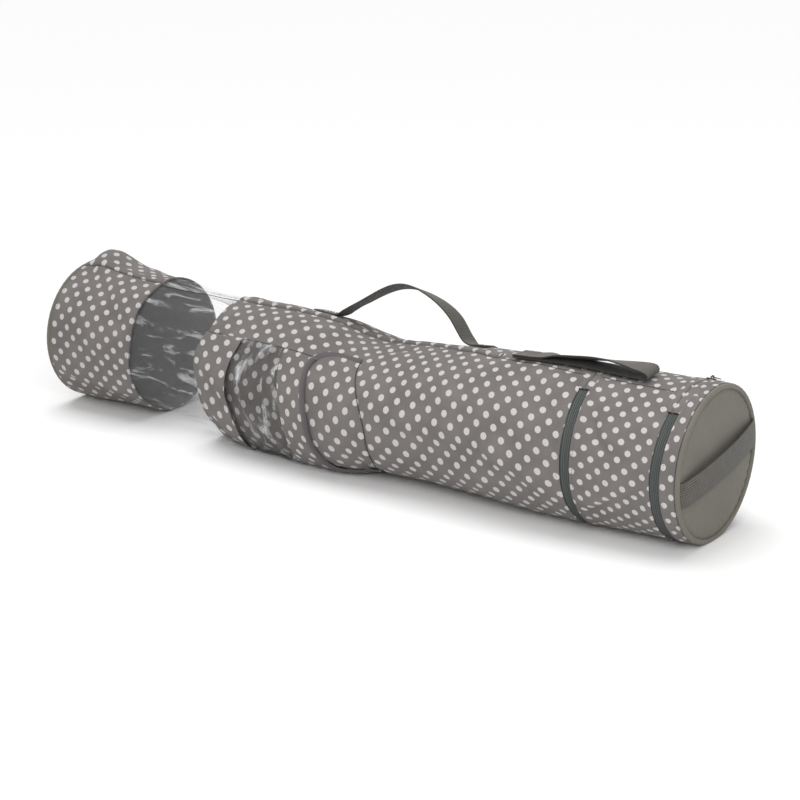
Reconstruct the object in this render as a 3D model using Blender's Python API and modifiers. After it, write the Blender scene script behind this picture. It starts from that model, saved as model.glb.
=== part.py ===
"""Gift wrap organizer: a soft tube bag lying on its side, with a clear window, a front
pocket, a zipped supplies section and a zipped end lid.

Metres, +Z up, +X along the tube towards the lid, -Y towards the pocket side.
Stations (s) are measured along the tube from its far end. Angles go round the tube from
the top (0) through the front (90) to the underside (180).
"""
import math

import bmesh
import bpy
from mathutils import Matrix, Vector

# Driving dimensions
LENGTH = 0.850                # over both rims
RADIUS = 0.0825               # rim radius
FAR_END = -0.4299             # X of station 0: the box of the whole bag is centred on X = 0
SIDE_SHIFT = 0.0056           # Y of the rims' axis, for the same reason
WALL = 0.0016                 # fabric with its lining
GAP = 0.0003                  # left between pieces that touch
COLUMNS = 48                  # facets round the tube
STEP = 360 / COLUMNS          # degrees between two columns

# The slack tube, station by station: station, girth radius, height of the top,
# clearance under the tube, shift of the axis towards the front
SECTIONS = (
    (0.000, 0.0825, 0.1635, -0.0015, 0.0000),
    (0.035, 0.0829, 0.1648, -0.0010, 0.0000),
    (0.090, 0.0808, 0.1627, 0.0015, 0.0000),
    (0.131, 0.0789, 0.1597, 0.0019, 0.0000),
    (0.175, 0.0772, 0.1546, 0.0003, 0.0000),
    (0.215, 0.0775, 0.1532, -0.0008, 0.0000),
    (0.262, 0.0812, 0.1524, -0.0010, 0.0000),
    (0.320, 0.0825, 0.1522, -0.0010, 0.0000),
    (0.365, 0.0825, 0.1492, -0.0010, 0.0000),
    (0.408, 0.0825, 0.1402, -0.0010, 0.0010),
    (0.440, 0.0825, 0.1375, -0.0010, 0.0040),
    (0.475, 0.0825, 0.1420, -0.0010, 0.0060),
    (0.524, 0.0825, 0.1472, -0.0010, 0.0050),
    (0.582, 0.0825, 0.1535, -0.0010, 0.0080),
    (0.641, 0.0825, 0.1602, -0.0012, 0.0130),
    (0.700, 0.0825, 0.1635, -0.0015, 0.0145),
    (0.757, 0.0825, 0.1635, -0.0015, 0.0095),
    (0.820, 0.0825, 0.1635, -0.0015, 0.0030),
    (0.850, 0.0825, 0.1635, -0.0015, 0.0000),
)

# Rims
PIPING_RADIUS = 0.0028
RIM_DEPTH = 2 * PIPING_RADIUS + GAP

# Panels along the tube, and the rounds of cloth and board across it
WINDOW_START = 0.1312
WINDOW_END = 0.2336
FILM = 0.0008
COVER_THICK = 0.0014
BOARD_THICK = 0.0020
DIVIDER_THICK = 0.0015
COVER_DEPTH = 2 * PIPING_RADIUS + GAP      # the covers fit inside the piping
FAR_COVER_FACE = 0.0020
FAR_BOARD_FACE = 0.0085
DIVIDER_FACE = 0.7405
LID_BOARD_FACE = 0.8435
LID_COVER_FACE = 0.8494

# Zips: centre station, angles where the spine fabric ends
ZIP_1 = 0.7245
ZIP_2 = 0.8245
ZIP_OPENING = 0.0075          # half the slot between the folded fabric edges
SPINE_BACK = -15.0
SPINE_FRONT_1 = 30.0
SPINE_FRONT_2 = 37.5
TAPE_DEPTH = 0.0019           # tape face below the fabric's outer face
TAPE_THICK = 0.0008
TAPE_INNER = 0.0005           # the tape's two edges, from the zip's middle
TAPE_OUTER = 0.0120
COIL_INNER = 0.0002
COIL_HALF = 0.0021
COIL_THICK = 0.0013

# Zip slider and pull
SLIDER_REST = -21.0           # angle of the slider with the zip closed
PLATE_LIFT = 0.0003
PLATE_THICK = 0.0015
BAIL_HEIGHT = 0.0034
BAIL_HALF = 0.0031
BAIL_WIRE = 0.0007            # radius
PULL_HALF = 0.0030
PULL_THICK = 0.0009
PULL_LENGTH = 0.0165

# Webbing
WEBBING = 0.025
WEB_THICK = 0.0016
SEWN_LIFT = 0.0005            # under webbing that is sewn to the tube
GRAB_HALF = 0.0755
GRAB_BOW = 0.0085
GRAB_TILT = math.radians(10.2)
GRAB_RAISED = 0.0020          # middle of the grab strap over the lid's middle

# Front pocket, in its own grid: u runs from its left edge (0) to its right seam (1)
POCKET_TOP = 49.0
POCKET_LOW = 157.5
POCKET_CLOTH = 0.0012
POCKET_LIFT = 0.0012
POCKET_BULGE = 0.0155
BULGE_START = 0.222
BULGE_END = 0.462
BINDING_WIDTH = 0.0064
BINDING_THICK = 0.0024
ARCH_LEFT = 0.686
ARCH_MIDDLE = 87.0
ARCH_HALF = 50.0
ARCH_POWER = 3.3
ARCH_RUN = 0.235              # mean width of the pocket
ARCH_REACH = 0.090            # mean distance of the mouth from the tube's axis

# Carry handle: station and height of its centreline, leg by leg; the legs bend when it swings
HANDLE_Y = 0.0245
HANDLE_AXIS_Z = 0.1500
HANDLE_MIDDLE = 0.4470
HANDLE_LEAN = 13              # degrees at the legs' tops, more at the crown
CROWN_LEAN = 14
LEG_LEANS = (9, 11, 13)
FOOT_FAR = (0.3290, 0.3600, -18.5)         # start, end and angle of each sewn foot
FOOT_NEAR = (0.5330, 0.5650, -19.5)
FAR_LEG = ((0.3618, 0.1508), (0.3700, 0.1563), (0.3796, 0.1628))
NEAR_LEG = ((0.5308, 0.1504), (0.5255, 0.1560), (0.5199, 0.1627))
HANDLE_PATH = (
    (0.3800, 0.1631), (0.3916, 0.1696), (0.4080, 0.1796), (0.4230, 0.1880), (0.4360, 0.1936),
    (0.4500, 0.1966), (0.4655, 0.1959), (0.4800, 0.1921), (0.4948, 0.1860), (0.5078, 0.1778),
    (0.5156, 0.1703), (0.5196, 0.1631),
)

# Hanging loop
LOOP_Y = -0.0195
LOOP_START = 0.6553
LOOP_TIP = 0.7830
LOOP_RISE = 0.0120
LOOP_FOLD = 0.0036
LOOP_LOW = 0.0020             # lower run's middle over the crown of the tube
LOOP_APART = 0.0028           # between the middles of the two runs at the anchor
ANCHOR_START = 0.6220
ANCHOR_ANGLE = 4
ANCHOR_THICK = 0.0034

FABRIC = (0.205, 0.190, 0.180, 1.0)
PLAIN = (0.150, 0.150, 0.120, 1.0)
FILM_COLOUR = (0.85, 0.87, 0.88, 1.0)
WEB_COLOUR = (0.085, 0.075, 0.062, 1.0)
ZIP_COLOUR = (0.070, 0.085, 0.080, 1.0)
BIND_COLOUR = (0.105, 0.090, 0.095, 1.0)
BOARD_COLOUR = (0.120, 0.120, 0.120, 1.0)
METAL = (0.045, 0.050, 0.048, 1.0)


def clear_scene():
    for item in list(bpy.data.objects):
        bpy.data.objects.remove(item, do_unlink=True)
    for group in list(bpy.data.collections):
        bpy.data.collections.remove(group)


def make_collection(name):
    group = bpy.data.collections.new(name)
    bpy.context.scene.collection.children.link(group)
    return group


clear_scene()
PARTS = make_collection("gift_wrap_organizer")
CUTTERS = make_collection("cutters")


def finish(name, colour, roughness=0.85, metallic=0.0, alpha=1.0):
    material = bpy.data.materials.new(name)
    material.use_nodes = True
    shader = material.node_tree.nodes["Principled BSDF"]
    shader.inputs["Base Color"].default_value = colour
    shader.inputs["Roughness"].default_value = roughness
    shader.inputs["Metallic"].default_value = metallic
    shader.inputs["Alpha"].default_value = alpha
    return material


FINISHES = {
    "fabric": finish("dotted_fabric", FABRIC),
    "plain": finish("plain_fabric", PLAIN),
    "film": finish("clear_film", FILM_COLOUR, 0.12, 0.0, 0.35),
    "webbing": finish("webbing", WEB_COLOUR),
    "zip": finish("zip_tape", ZIP_COLOUR),
    "coil": finish("zip_coil", ZIP_COLOUR, 0.45),
    "binding": finish("binding", BIND_COLOUR),
    "board": finish("stiffener", BOARD_COLOUR, 0.6),
    "metal": finish("slider_metal", METAL, 0.35, 0.8),
}


# The tube's skin
def smooth_value(station, column):
    """Cubic curve through one column of the section table."""
    last = len(SECTIONS) - 1
    i = 0
    while i < last - 1 and station > SECTIONS[i + 1][0]:
        i += 1

    def slope(k):
        if k in (0, last):
            return 0.0
        rise = SECTIONS[k + 1][column] - SECTIONS[k - 1][column]
        return rise / (SECTIONS[k + 1][0] - SECTIONS[k - 1][0])

    span = SECTIONS[i + 1][0] - SECTIONS[i][0]
    t = (station - SECTIONS[i][0]) / span
    start, end = SECTIONS[i][column], SECTIONS[i + 1][column]
    value = (2 * t**3 - 3 * t**2 + 1) * start + (t**3 - 2 * t**2 + t) * span * slope(i)
    return value + (3 * t**2 - 2 * t**3) * end + (t**3 - t**2) * span * slope(i + 1)


def section(station):
    """Half height, half width, axis Y and axis Z of the tube's oval section."""
    girth, top, under, forward = (smooth_value(station, c) for c in (1, 2, 3, 4))
    half_height = (top - under) / 2
    half_width = math.sqrt(2 * girth**2 - half_height**2)
    return half_height, half_width, SIDE_SHIFT - forward, under + half_height


def skin(station, angle, out=0.0):
    """Point on the tube's skin, or out metres outside it, never under the floor."""
    half_height, half_width, axis_y, axis_z = section(station)
    turn = math.radians(angle)
    across, up = math.sin(turn), math.cos(turn)
    reach = 1 / math.sqrt((across / half_width) ** 2 + (up / half_height) ** 2) + out
    if up < 0:
        floor = -out if out < 0 else 0.0
        reach = min(reach, (axis_z - floor) / -up)
    return Vector((FAR_END + station, axis_y - reach * across, axis_z + reach * up))


def ease(low, high, value):
    t = min(max((value - low) / (high - low), 0.0), 1.0)
    return t * t * (3 - 2 * t)


# Mesh helpers
def add_object(name, mesh, slot):
    body = bpy.data.objects.new(name, mesh)
    body.data.materials.append(FINISHES[slot])
    PARTS.objects.link(body)
    return body


def loft(name, rows, slot, closed=False, keep=None):
    """Open sheet through rows of points, each row one step further along +X."""
    mesh = bpy.data.meshes.new(name)
    sheet = bmesh.new()
    grid = [[sheet.verts.new(point) for point in row] for row in rows]
    width = len(rows[0])
    steps = width if closed else width - 1
    for i in range(len(rows) - 1):
        for j in range(steps):
            if keep is not None and not keep(i, j):
                continue
            k = (j + 1) % width
            sheet.faces.new((grid[i][j], grid[i][k], grid[i + 1][k], grid[i + 1][j]))
    loose = [v for v in sheet.verts if not v.link_faces]
    bmesh.ops.delete(sheet, geom=loose, context="VERTS")
    sheet.to_mesh(mesh)
    sheet.free()
    return add_object(name, mesh, slot)


def thicken(body, thickness, offset=-1.0):
    wall = body.modifiers.new("wall", "SOLIDIFY")
    wall.thickness = thickness
    wall.offset = offset
    return body


def smooth(body):
    body.data.shade_smooth()
    body.data.set_sharp_from_angle(angle=math.radians(40))
    return body


def spread(start, end, longest):
    """Stations from start to end, no more than longest apart."""
    count = max(1, math.ceil((end - start) / longest))
    return [start + (end - start) * k / count for k in range(count + 1)]


def sleeve(name, stations, slot, thickness=WALL, out=0.0, tongue_start=None, tongue_end=None,
           front=SPINE_FRONT_1):
    """Tube of cloth. A tongue is the strip of spine fabric past a zip's slot."""
    columns = [STEP * k for k in range(COLUMNS)]
    lines = list(stations)
    if tongue_start is not None:
        lines.insert(0, tongue_start)
    if tongue_end is not None:
        lines.append(tongue_end[0])

    def in_spine(j, limit):
        angle = columns[j]
        return angle < limit - 0.1 or angle > 360 + SPINE_BACK - 0.1

    def keep(i, j):
        if tongue_start is not None and i == 0:
            return in_spine(j, front)
        if tongue_end is not None and i == len(lines) - 2:
            return in_spine(j, tongue_end[1])
        return True

    rows = [[skin(s, angle, out) for angle in columns] for s in lines]
    body = loft(name, rows, slot, closed=True, keep=keep)
    return smooth(thicken(body, thickness))


def patch(name, stations, angles, out, slot, thickness, offset=1.0):
    rows = [[skin(s, angle, out) for angle in angles] for s in stations]
    return smooth(thicken(loft(name, rows, slot), thickness, offset))


def disc(name, station, out, thickness, slot):
    """Flat round panel across the tube, its face at station, its back thickness nearer s = 0."""
    mesh = bpy.data.meshes.new(name)
    plate = bmesh.new()
    rim = [plate.verts.new(skin(station, STEP * k, out)) for k in range(COLUMNS)]
    face = plate.faces.new(rim)
    face.normal_update()
    if face.normal.x < 0:
        face.normal_flip()
    plate.to_mesh(mesh)
    plate.free()
    return thicken(add_object(name, mesh, slot), thickness)


def piping(name, station):
    """Covered cord round a rim, pressed flat where the bag stands on it."""
    _, _, axis_y, axis_z = section(station)
    bpy.ops.mesh.primitive_torus_add(
        major_radius=RADIUS - PIPING_RADIUS, minor_radius=PIPING_RADIUS,
        major_segments=COLUMNS, minor_segments=8,
        location=(FAR_END + station, axis_y, axis_z), rotation=(0, math.pi / 2, 0))
    ring = bpy.context.active_object
    ring.name = name
    ring.data.transform(ring.matrix_basis)
    ring.matrix_basis = Matrix.Identity(4)
    for vertex in ring.data.vertices:
        vertex.co.z = max(vertex.co.z, 0.0)
    for group in list(ring.users_collection):
        group.objects.unlink(ring)
    PARTS.objects.link(ring)
    ring.data.materials.append(FINISHES["plain"])
    return smooth(ring)


def ribbon(name, left, right, slot, thickness=WEB_THICK):
    """Flat webbing between two edge lines, thickened about its middle."""
    rows = [[a, b] for a, b in zip(left, right)]
    return smooth(thicken(loft(name, rows, slot), thickness, 0.0))


# Joint empties. Each moving piece hangs from the empty on its joint's axis
def joint_empty(name, location, parent=None):
    mark = bpy.data.objects.new(name, None)
    mark.empty_display_size = 0.02
    mark.location = location
    PARTS.objects.link(mark)
    if parent is not None:
        mark.parent = parent
        mark.matrix_parent_inverse = Matrix.Translation(-parent.matrix_world.translation)
    bpy.context.view_layer.update()
    return mark


def hang(bodies, mark):
    for body in bodies:
        body.parent = mark
        body.matrix_parent_inverse = Matrix.Translation(-mark.matrix_world.translation)


# Hinge lines and centres
def spine_point(zip_station, front):
    """Where the spine fabric of a zip bends: the middle of its strip, just off the skin."""
    return skin(zip_station, (SPINE_BACK + front) / 2, 0.0005)


SPINE_1 = spine_point(ZIP_1, SPINE_FRONT_1)
SPINE_2 = spine_point(ZIP_2, SPINE_FRONT_2)


# Far end: cover, stiffener, piping and first fabric panel
def far_end():
    disc("far_cover", FAR_COVER_FACE, -COVER_DEPTH, COVER_THICK, "plain")
    disc("far_board", FAR_BOARD_FACE, -(WALL + GAP), BOARD_THICK, "board")
    piping("far_piping", PIPING_RADIUS)
    stations = [RIM_DEPTH] + spread(0.020, WINDOW_START - GAP, 0.022)
    sleeve("far_sleeve", stations, "fabric")


def window():
    sleeve("clear_window", spread(WINDOW_START, WINDOW_END, 0.021), "film", FILM, -GAP)


def body_panel():
    stations = [WINDOW_END + GAP] + spread(0.255, ZIP_1 - ZIP_OPENING, 0.024)
    sleeve("body_sleeve", stations, "fabric", tongue_end=(ZIP_1 - GAP, SPINE_FRONT_1))


# Lapped seam along the top: a folded welt that leans back
SEAM_ANGLES = (
    (0.000, 20.0), (0.090, 20.0), (0.131, 16.0), (0.200, 3.0), (0.260, 2.0), (0.330, 0.0),
    (0.420, -8.0), (0.500, -1.0), (0.560, 5.0), (0.600, 10.0),
)
SEAM_WIDTH = 7.0              # degrees of the tube that the welt covers
SEAM_THICK = 0.0024
SEAM_LIFT = 0.0006


def seam_angle(station):
    for (s0, a0), (s1, a1) in zip(SEAM_ANGLES, SEAM_ANGLES[1:]):
        if station <= s1:
            return a0 + (a1 - a0) * ease(s0, s1, station)
    return SEAM_ANGLES[-1][1]


def seam(name, start, end, slot):
    rows = []
    for s in spread(start, end, 0.020):
        lead = seam_angle(s)
        rows.append([skin(s, lead - SEAM_WIDTH + SEAM_WIDTH * k / 2, SEAM_LIFT) for k in range(3)])
    return smooth(thicken(loft(name, rows, slot), SEAM_THICK, 1.0))


def seams():
    seam("far_seam", 0.010, WINDOW_START - GAP, "fabric")
    seam("window_seam", WINDOW_START, WINDOW_END, "film")
    seam("body_seam", WINDOW_END + GAP, 0.600, "fabric")


# Front pocket
def pocket_left(angle):
    return 0.2345 - 0.0055 * ease(45, 71, angle) + 0.028 * ease(71, 118, angle)


def pocket_right(angle):
    return 0.4430 + 0.0410 * ease(38, 97, angle) - 0.0100 * ease(118, 152, angle)


def pocket_bulge(station, angle):
    """How far the filled pocket stands off the tube."""
    along = min(max((station - BULGE_START) / (BULGE_END - BULGE_START), 0.0), 1.0)
    return POCKET_BULGE * math.sin(math.pi * along) ** 0.75 * ease(47, 125, angle)


def pocket_point(u, angle, out=0.0):
    station = pocket_left(angle) + (pocket_right(angle) - pocket_left(angle)) * u
    half_height, half_width, axis_y, axis_z = section(station)
    turn = math.radians(angle)
    across, up = math.sin(turn), math.cos(turn)
    reach = 1 / math.sqrt((across / half_width) ** 2 + (up / half_height) ** 2)
    reach += pocket_bulge(station, angle) + POCKET_LIFT + out
    if up < 0:
        reach = min(reach, (axis_z - GAP) / -up)
    return Vector((FAR_END + station, axis_y - reach * across, axis_z + reach * up))


def arch_point(turn, grow=0.0):
    """Grid position (u, angle) on the arched mouth; turn runs -90 (top) to 90 (bottom)."""
    width = (1 - ARCH_LEFT) + grow / ARCH_RUN
    half = ARCH_HALF + math.degrees(grow / ARCH_REACH)
    power = 2 / ARCH_POWER
    rise = math.copysign(abs(math.sin(math.radians(turn))) ** power, turn)
    return 1 - width * math.cos(math.radians(turn)) ** power, ARCH_MIDDLE + half * rise


def window_left(angle):
    return 0.25 - 0.06 * ease(50, 110, angle)


WINDOW_RIGHT = 0.54
POCKET_ANGLES = (49, 56, 63.5, 71, 78.5, 86, 93.5, 101, 108.5, 116, 123.5, 131, 137.5, 144, 150, 157.5)
SLIT = 0.0012                 # 0.3 mm gap in the pocket's own grid


def pocket_panel(name, lefts, rights, slot, thickness, columns):
    """Panel between two edges; lefts and rights give u at each of the pocket's angles."""
    rows = []
    for k in range(columns + 1):
        t = k / columns
        rows.append([pocket_point(a + (b - a) * t, angle, thickness)
                     for angle, a, b in zip(POCKET_ANGLES, lefts, rights)])
    return smooth(thicken(loft(name, rows, slot), thickness))


def pocket():
    window_edge = [window_left(angle) for angle in POCKET_ANGLES]
    pocket_panel("pocket_end_strip", [0.0] * len(POCKET_ANGLES), [u - SLIT for u in window_edge],
                 "fabric", POCKET_CLOTH, 3)
    pocket_panel("pocket_window", window_edge, [WINDOW_RIGHT - SLIT] * len(POCKET_ANGLES),
                 "film", FILM, 4)
    mouth_strip()


def mouth_strip():
    """Cloth from the window round the arched mouth, drawn between the two edges."""
    grow = BINDING_WIDTH / 2 + 2 * GAP
    half = ARCH_HALF + math.degrees(grow / ARCH_REACH)
    first = -math.degrees(math.asin(((ARCH_MIDDLE - POCKET_TOP) / half) ** (ARCH_POWER / 2)))
    arch = [arch_point(turn, grow) for turn in [first] + list(range(math.ceil(first / 4) * 4, 89, 4))]
    arch[-1] = (1.0, arch[-1][1])
    side = 19
    edge = [(WINDOW_RIGHT, POCKET_TOP + (POCKET_LOW - POCKET_TOP) * k / side) for k in range(side + 1)]
    rest = len(arch) - len(edge)
    edge += [(WINDOW_RIGHT + (1 - WINDOW_RIGHT) * (k + 1) / rest, POCKET_LOW) for k in range(rest)]
    rows = []
    for t in (0.0, 0.25, 0.5, 0.75, 1.0):
        rows.append([pocket_point(a[0] + (b[0] - a[0]) * t, a[1] + (b[1] - a[1]) * t, POCKET_CLOTH)
                     for a, b in zip(edge, arch)])
    return smooth(thicken(loft("pocket_mouth_strip", rows, "fabric"), POCKET_CLOTH))


def binding():
    """Bias binding round the arched mouth of the pocket."""
    outside = BINDING_THICK - POCKET_CLOTH / 3
    rows = []
    for turn in range(88, -89, -4):
        outer = arch_point(turn, BINDING_WIDTH / 2)
        inner = arch_point(turn, -BINDING_WIDTH / 2)
        rows.append([pocket_point(outer[0], outer[1], outside), pocket_point(inner[0], inner[1], outside)])
    return smooth(thicken(loft("pocket_binding", rows, "binding"), BINDING_THICK))


# Zips: two tapes and two coil halves each
def zip_angles(front):
    start, end = front + 1.0, 360 + SPINE_BACK - 1.0
    first = math.ceil(start / STEP)
    last = math.floor(end / STEP)
    return [start] + [STEP * k for k in range(first, last + 1)] + [end]


def zip_side(number, side, front, slots):
    """side is -1 for the half towards the far end and +1 for the other."""
    centre = ZIP_1 if number == 1 else ZIP_2
    angles = zip_angles(front)

    def band(name, near, far, depth, thickness, slot):
        edges = sorted((centre + side * near, centre + side * far))
        rows = [[skin(s, angle, -depth) for angle in angles] for s in edges]
        return smooth(thicken(loft(name, rows, slot), thickness))

    tape = band(f"zip_{number}_tape_{slots}", TAPE_INNER, TAPE_OUTER, TAPE_DEPTH, TAPE_THICK, "zip")
    coil = band(f"zip_{number}_coil_{slots}", COIL_INNER, COIL_INNER + COIL_HALF, GAP, COIL_THICK, "coil")
    return [tape, coil]


# Slider and pull, built upright at the top of the tube and turned to their rest angle
def slider(number):
    zip_station = ZIP_1 if number == 1 else ZIP_2
    _, _, axis_y, axis_z = section(zip_station)
    x = FAR_END + zip_station
    plate_low = RADIUS + PLATE_LIFT

    outline = bpy.data.curves.new(f"slider_{number}_outline", "CURVE")
    outline.dimensions = "2D"
    outline.fill_mode = "BOTH"
    outline.extrude = PLATE_THICK / 2
    shield = ((-0.0042, -0.0050), (0.0042, -0.0050), (0.0046, -0.0015), (0.0034, 0.0035),
              (0.0018, 0.0060), (-0.0018, 0.0060), (-0.0034, 0.0035), (-0.0046, -0.0015))
    line = outline.splines.new("POLY")
    line.points.add(len(shield) - 1)
    for point, (across, along) in zip(line.points, shield):
        point.co = (across, along, plate_low + PLATE_THICK / 2, 1)
    line.use_cyclic_u = True

    arch = bpy.data.curves.new(f"bail_{number}_wire", "CURVE")
    arch.dimensions = "3D"
    arch.bevel_depth = BAIL_WIRE
    arch.bevel_resolution = 1
    arch.use_fill_caps = True
    wire = arch.splines.new("POLY")
    steps = 8
    wire.points.add(steps)
    foot = plate_low + PLATE_THICK - BAIL_WIRE + 0.0001
    for k, point in enumerate(wire.points):
        turn = math.pi * k / steps
        point.co = (0, -BAIL_HALF * math.cos(turn), foot + BAIL_HEIGHT * math.sin(turn) ** 0.6, 1)

    solids = []
    for name, curve in ((f"zip_{number}_slider", outline), (f"zip_{number}_bail", arch)):
        maker = bpy.data.objects.new(name + "_curve", curve)
        PARTS.objects.link(maker)
        bpy.context.view_layer.update()
        ready = maker.evaluated_get(bpy.context.evaluated_depsgraph_get())
        mesh = bpy.data.meshes.new_from_object(ready)
        bpy.data.objects.remove(maker)
        welded = bmesh.new()
        welded.from_mesh(mesh)
        bmesh.ops.remove_doubles(welded, verts=welded.verts, dist=0.00002)
        bmesh.ops.recalc_face_normals(welded, faces=welded.faces)
        welded.to_mesh(mesh)
        welded.free()
        mesh.materials.clear()
        mesh.transform(Matrix.Rotation(math.radians(SLIDER_REST), 4, "X"))
        mesh.transform(Matrix.Translation((x, axis_y, axis_z)))
        solids.append(add_object(name, mesh, "metal"))
    body, bail = solids
    PARTS.objects.unlink(bail)
    CUTTERS.objects.link(bail)
    bail.hide_render = True
    bail.display_type = "WIRE"
    join = body.modifiers.new("bail", "BOOLEAN")
    join.operation = "UNION"
    join.solver = "EXACT"
    join.object = bail
    return body


def pull_axis(number):
    """World point on the cross bar of a pull: the line it flips about."""
    zip_station = ZIP_1 if number == 1 else ZIP_2
    _, _, axis_y, axis_z = section(zip_station)
    reach = RADIUS + PLATE_LIFT + PLATE_THICK + 0.0013
    turn = math.radians(SLIDER_REST)
    return Vector((FAR_END + zip_station, axis_y - reach * math.sin(turn),
                   axis_z + reach * math.cos(turn)))


def pull(number):
    """Flat tab with a window near its root; the bar past the window sits in the bail."""
    shape = bpy.data.curves.new(f"pull_{number}_outline", "CURVE")
    shape.dimensions = "2D"
    shape.fill_mode = "BOTH"
    shape.extrude = PULL_THICK / 2
    half = PULL_HALF
    rounded = [(half * math.cos(a), PULL_LENGTH - half + half * math.sin(a))
               for a in (math.radians(18 * k) for k in range(11))]
    outer = [(-half * 0.8, -0.0006), (half * 0.8, -0.0006), (half, 0.0010)] + rounded + [(-half, 0.0010)]
    eye = [(-0.0013, 0.0006), (-0.0013, 0.0052), (0.0013, 0.0052), (0.0013, 0.0006)]
    for loop in (outer, eye):
        line = shape.splines.new("POLY")
        line.points.add(len(loop) - 1)
        for point, (across, along) in zip(line.points, loop):
            point.co = (across, along, 0, 1)
        line.use_cyclic_u = True
    maker = bpy.data.objects.new(f"pull_{number}_curve", shape)
    PARTS.objects.link(maker)
    bpy.context.view_layer.update()
    ready = maker.evaluated_get(bpy.context.evaluated_depsgraph_get())
    mesh = bpy.data.meshes.new_from_object(ready)
    bpy.data.objects.remove(maker)
    tab = bmesh.new()
    tab.from_mesh(mesh)
    bmesh.ops.remove_doubles(tab, verts=tab.verts, dist=0.00002)
    bmesh.ops.recalc_face_normals(tab, faces=tab.faces)
    tab.to_mesh(mesh)
    tab.free()
    mesh.materials.clear()
    mesh.transform(Matrix.Rotation(math.radians(SLIDER_REST), 4, "X"))
    mesh.transform(Matrix.Translation(pull_axis(number)))
    return add_object(f"zip_{number}_pull", mesh, "metal")


# Supplies section between the two zips
def supplies_section():
    stations = spread(ZIP_1 + ZIP_OPENING, ZIP_2 - ZIP_OPENING, 0.022)
    panel = sleeve("supplies_sleeve", stations, "fabric", tongue_start=ZIP_1 + GAP,
                   tongue_end=(ZIP_2 - GAP, SPINE_FRONT_2))
    floor = disc("divider", DIVIDER_FACE, -(WALL + GAP), DIVIDER_THICK, "plain")
    return [panel, floor]


# End lid
def lid():
    stations = [ZIP_2 + ZIP_OPENING, LENGTH - RIM_DEPTH]
    band = sleeve("lid_sleeve", stations, "fabric", tongue_start=ZIP_2 + GAP, front=SPINE_FRONT_2)
    cover = disc("lid_cover", LID_COVER_FACE, -COVER_DEPTH, COVER_THICK, "plain")
    board = disc("lid_board", LID_BOARD_FACE, -(WALL + GAP), BOARD_THICK, "board")
    cord = piping("lid_piping", LENGTH - PIPING_RADIUS)
    return [band, cover, board, cord, grab_strap()]


def grab_strap():
    """Webbing across the lid, bowed out so that fingers go behind it."""
    _, _, axis_y, axis_z = section(LENGTH)
    run = Vector((0, math.cos(GRAB_TILT), math.sin(GRAB_TILT)))
    width = Vector((0, -math.sin(GRAB_TILT), math.cos(GRAB_TILT)))
    face = FAR_END + LID_COVER_FACE + GAP + WEB_THICK / 2
    left, right = [], []
    count = 16
    for k in range(count + 1):
        t = -1 + 2 * k / count
        rise = GRAB_BOW * (1 - abs(t) ** 2.4)
        centre = Vector((face + rise, axis_y, axis_z + GRAB_RAISED)) + run * GRAB_HALF * t
        left.append(centre + width * WEBBING / 2)
        right.append(centre - width * WEBBING / 2)
    return ribbon("grab_strap", left, right, "webbing")


# Carry handle
def handle_feet():
    half_angle = math.degrees(WEBBING / 2 / RADIUS)
    for name, (start, end, middle) in (("handle_foot_far", FOOT_FAR), ("handle_foot_near", FOOT_NEAR)):
        angles = [middle + half_angle * t for t in (-1, -0.5, 0, 0.5, 1)]
        patch(name, spread(start, end, 0.011), angles, SEWN_LIFT, "webbing", WEB_THICK)


def handle_band(name, path, leans):
    """Webbing along a path of station and height; lean lowers its back edge."""
    left, right = [], []
    for (station, height), degrees in zip(path, leans):
        lean = math.radians(degrees)
        across = Vector((0, math.cos(lean), -math.sin(lean))) * WEBBING / 2
        centre = Vector((FAR_END + station, HANDLE_Y + SIDE_SHIFT, height))
        left.append(centre - across)
        right.append(centre + across)
    return ribbon(name, left, right, "webbing")


def handle_legs():
    handle_band("handle_leg_far", FAR_LEG, LEG_LEANS)
    handle_band("handle_leg_near", NEAR_LEG, LEG_LEANS)


def carry_handle():
    """Arch of webbing between its legs; its top leans back as it does in use."""
    last = len(HANDLE_PATH) - 1
    leans = [HANDLE_LEAN + CROWN_LEAN * math.sin(math.pi * k / last) for k in range(last + 1)]
    return handle_band("carry_handle", HANDLE_PATH, leans)


# Hanging loop: both ends sewn down, the loop lying along the spine over the first zip
def loop_anchor():
    half_angle = math.degrees(WEBBING / 2 / RADIUS)
    angles = [ANCHOR_ANGLE + half_angle * t for t in (-1, -0.5, 0, 0.5, 1)]
    stations = spread(ANCHOR_START, LOOP_START - GAP, 0.011)
    patch("loop_anchor", stations, angles, SEWN_LIFT, "webbing", ANCHOR_THICK)


def loop_height(station):
    """Height of the lower run's middle surface, clear of the crown of the tube."""
    return smooth_value(station, 2) + LOOP_LOW


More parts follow.
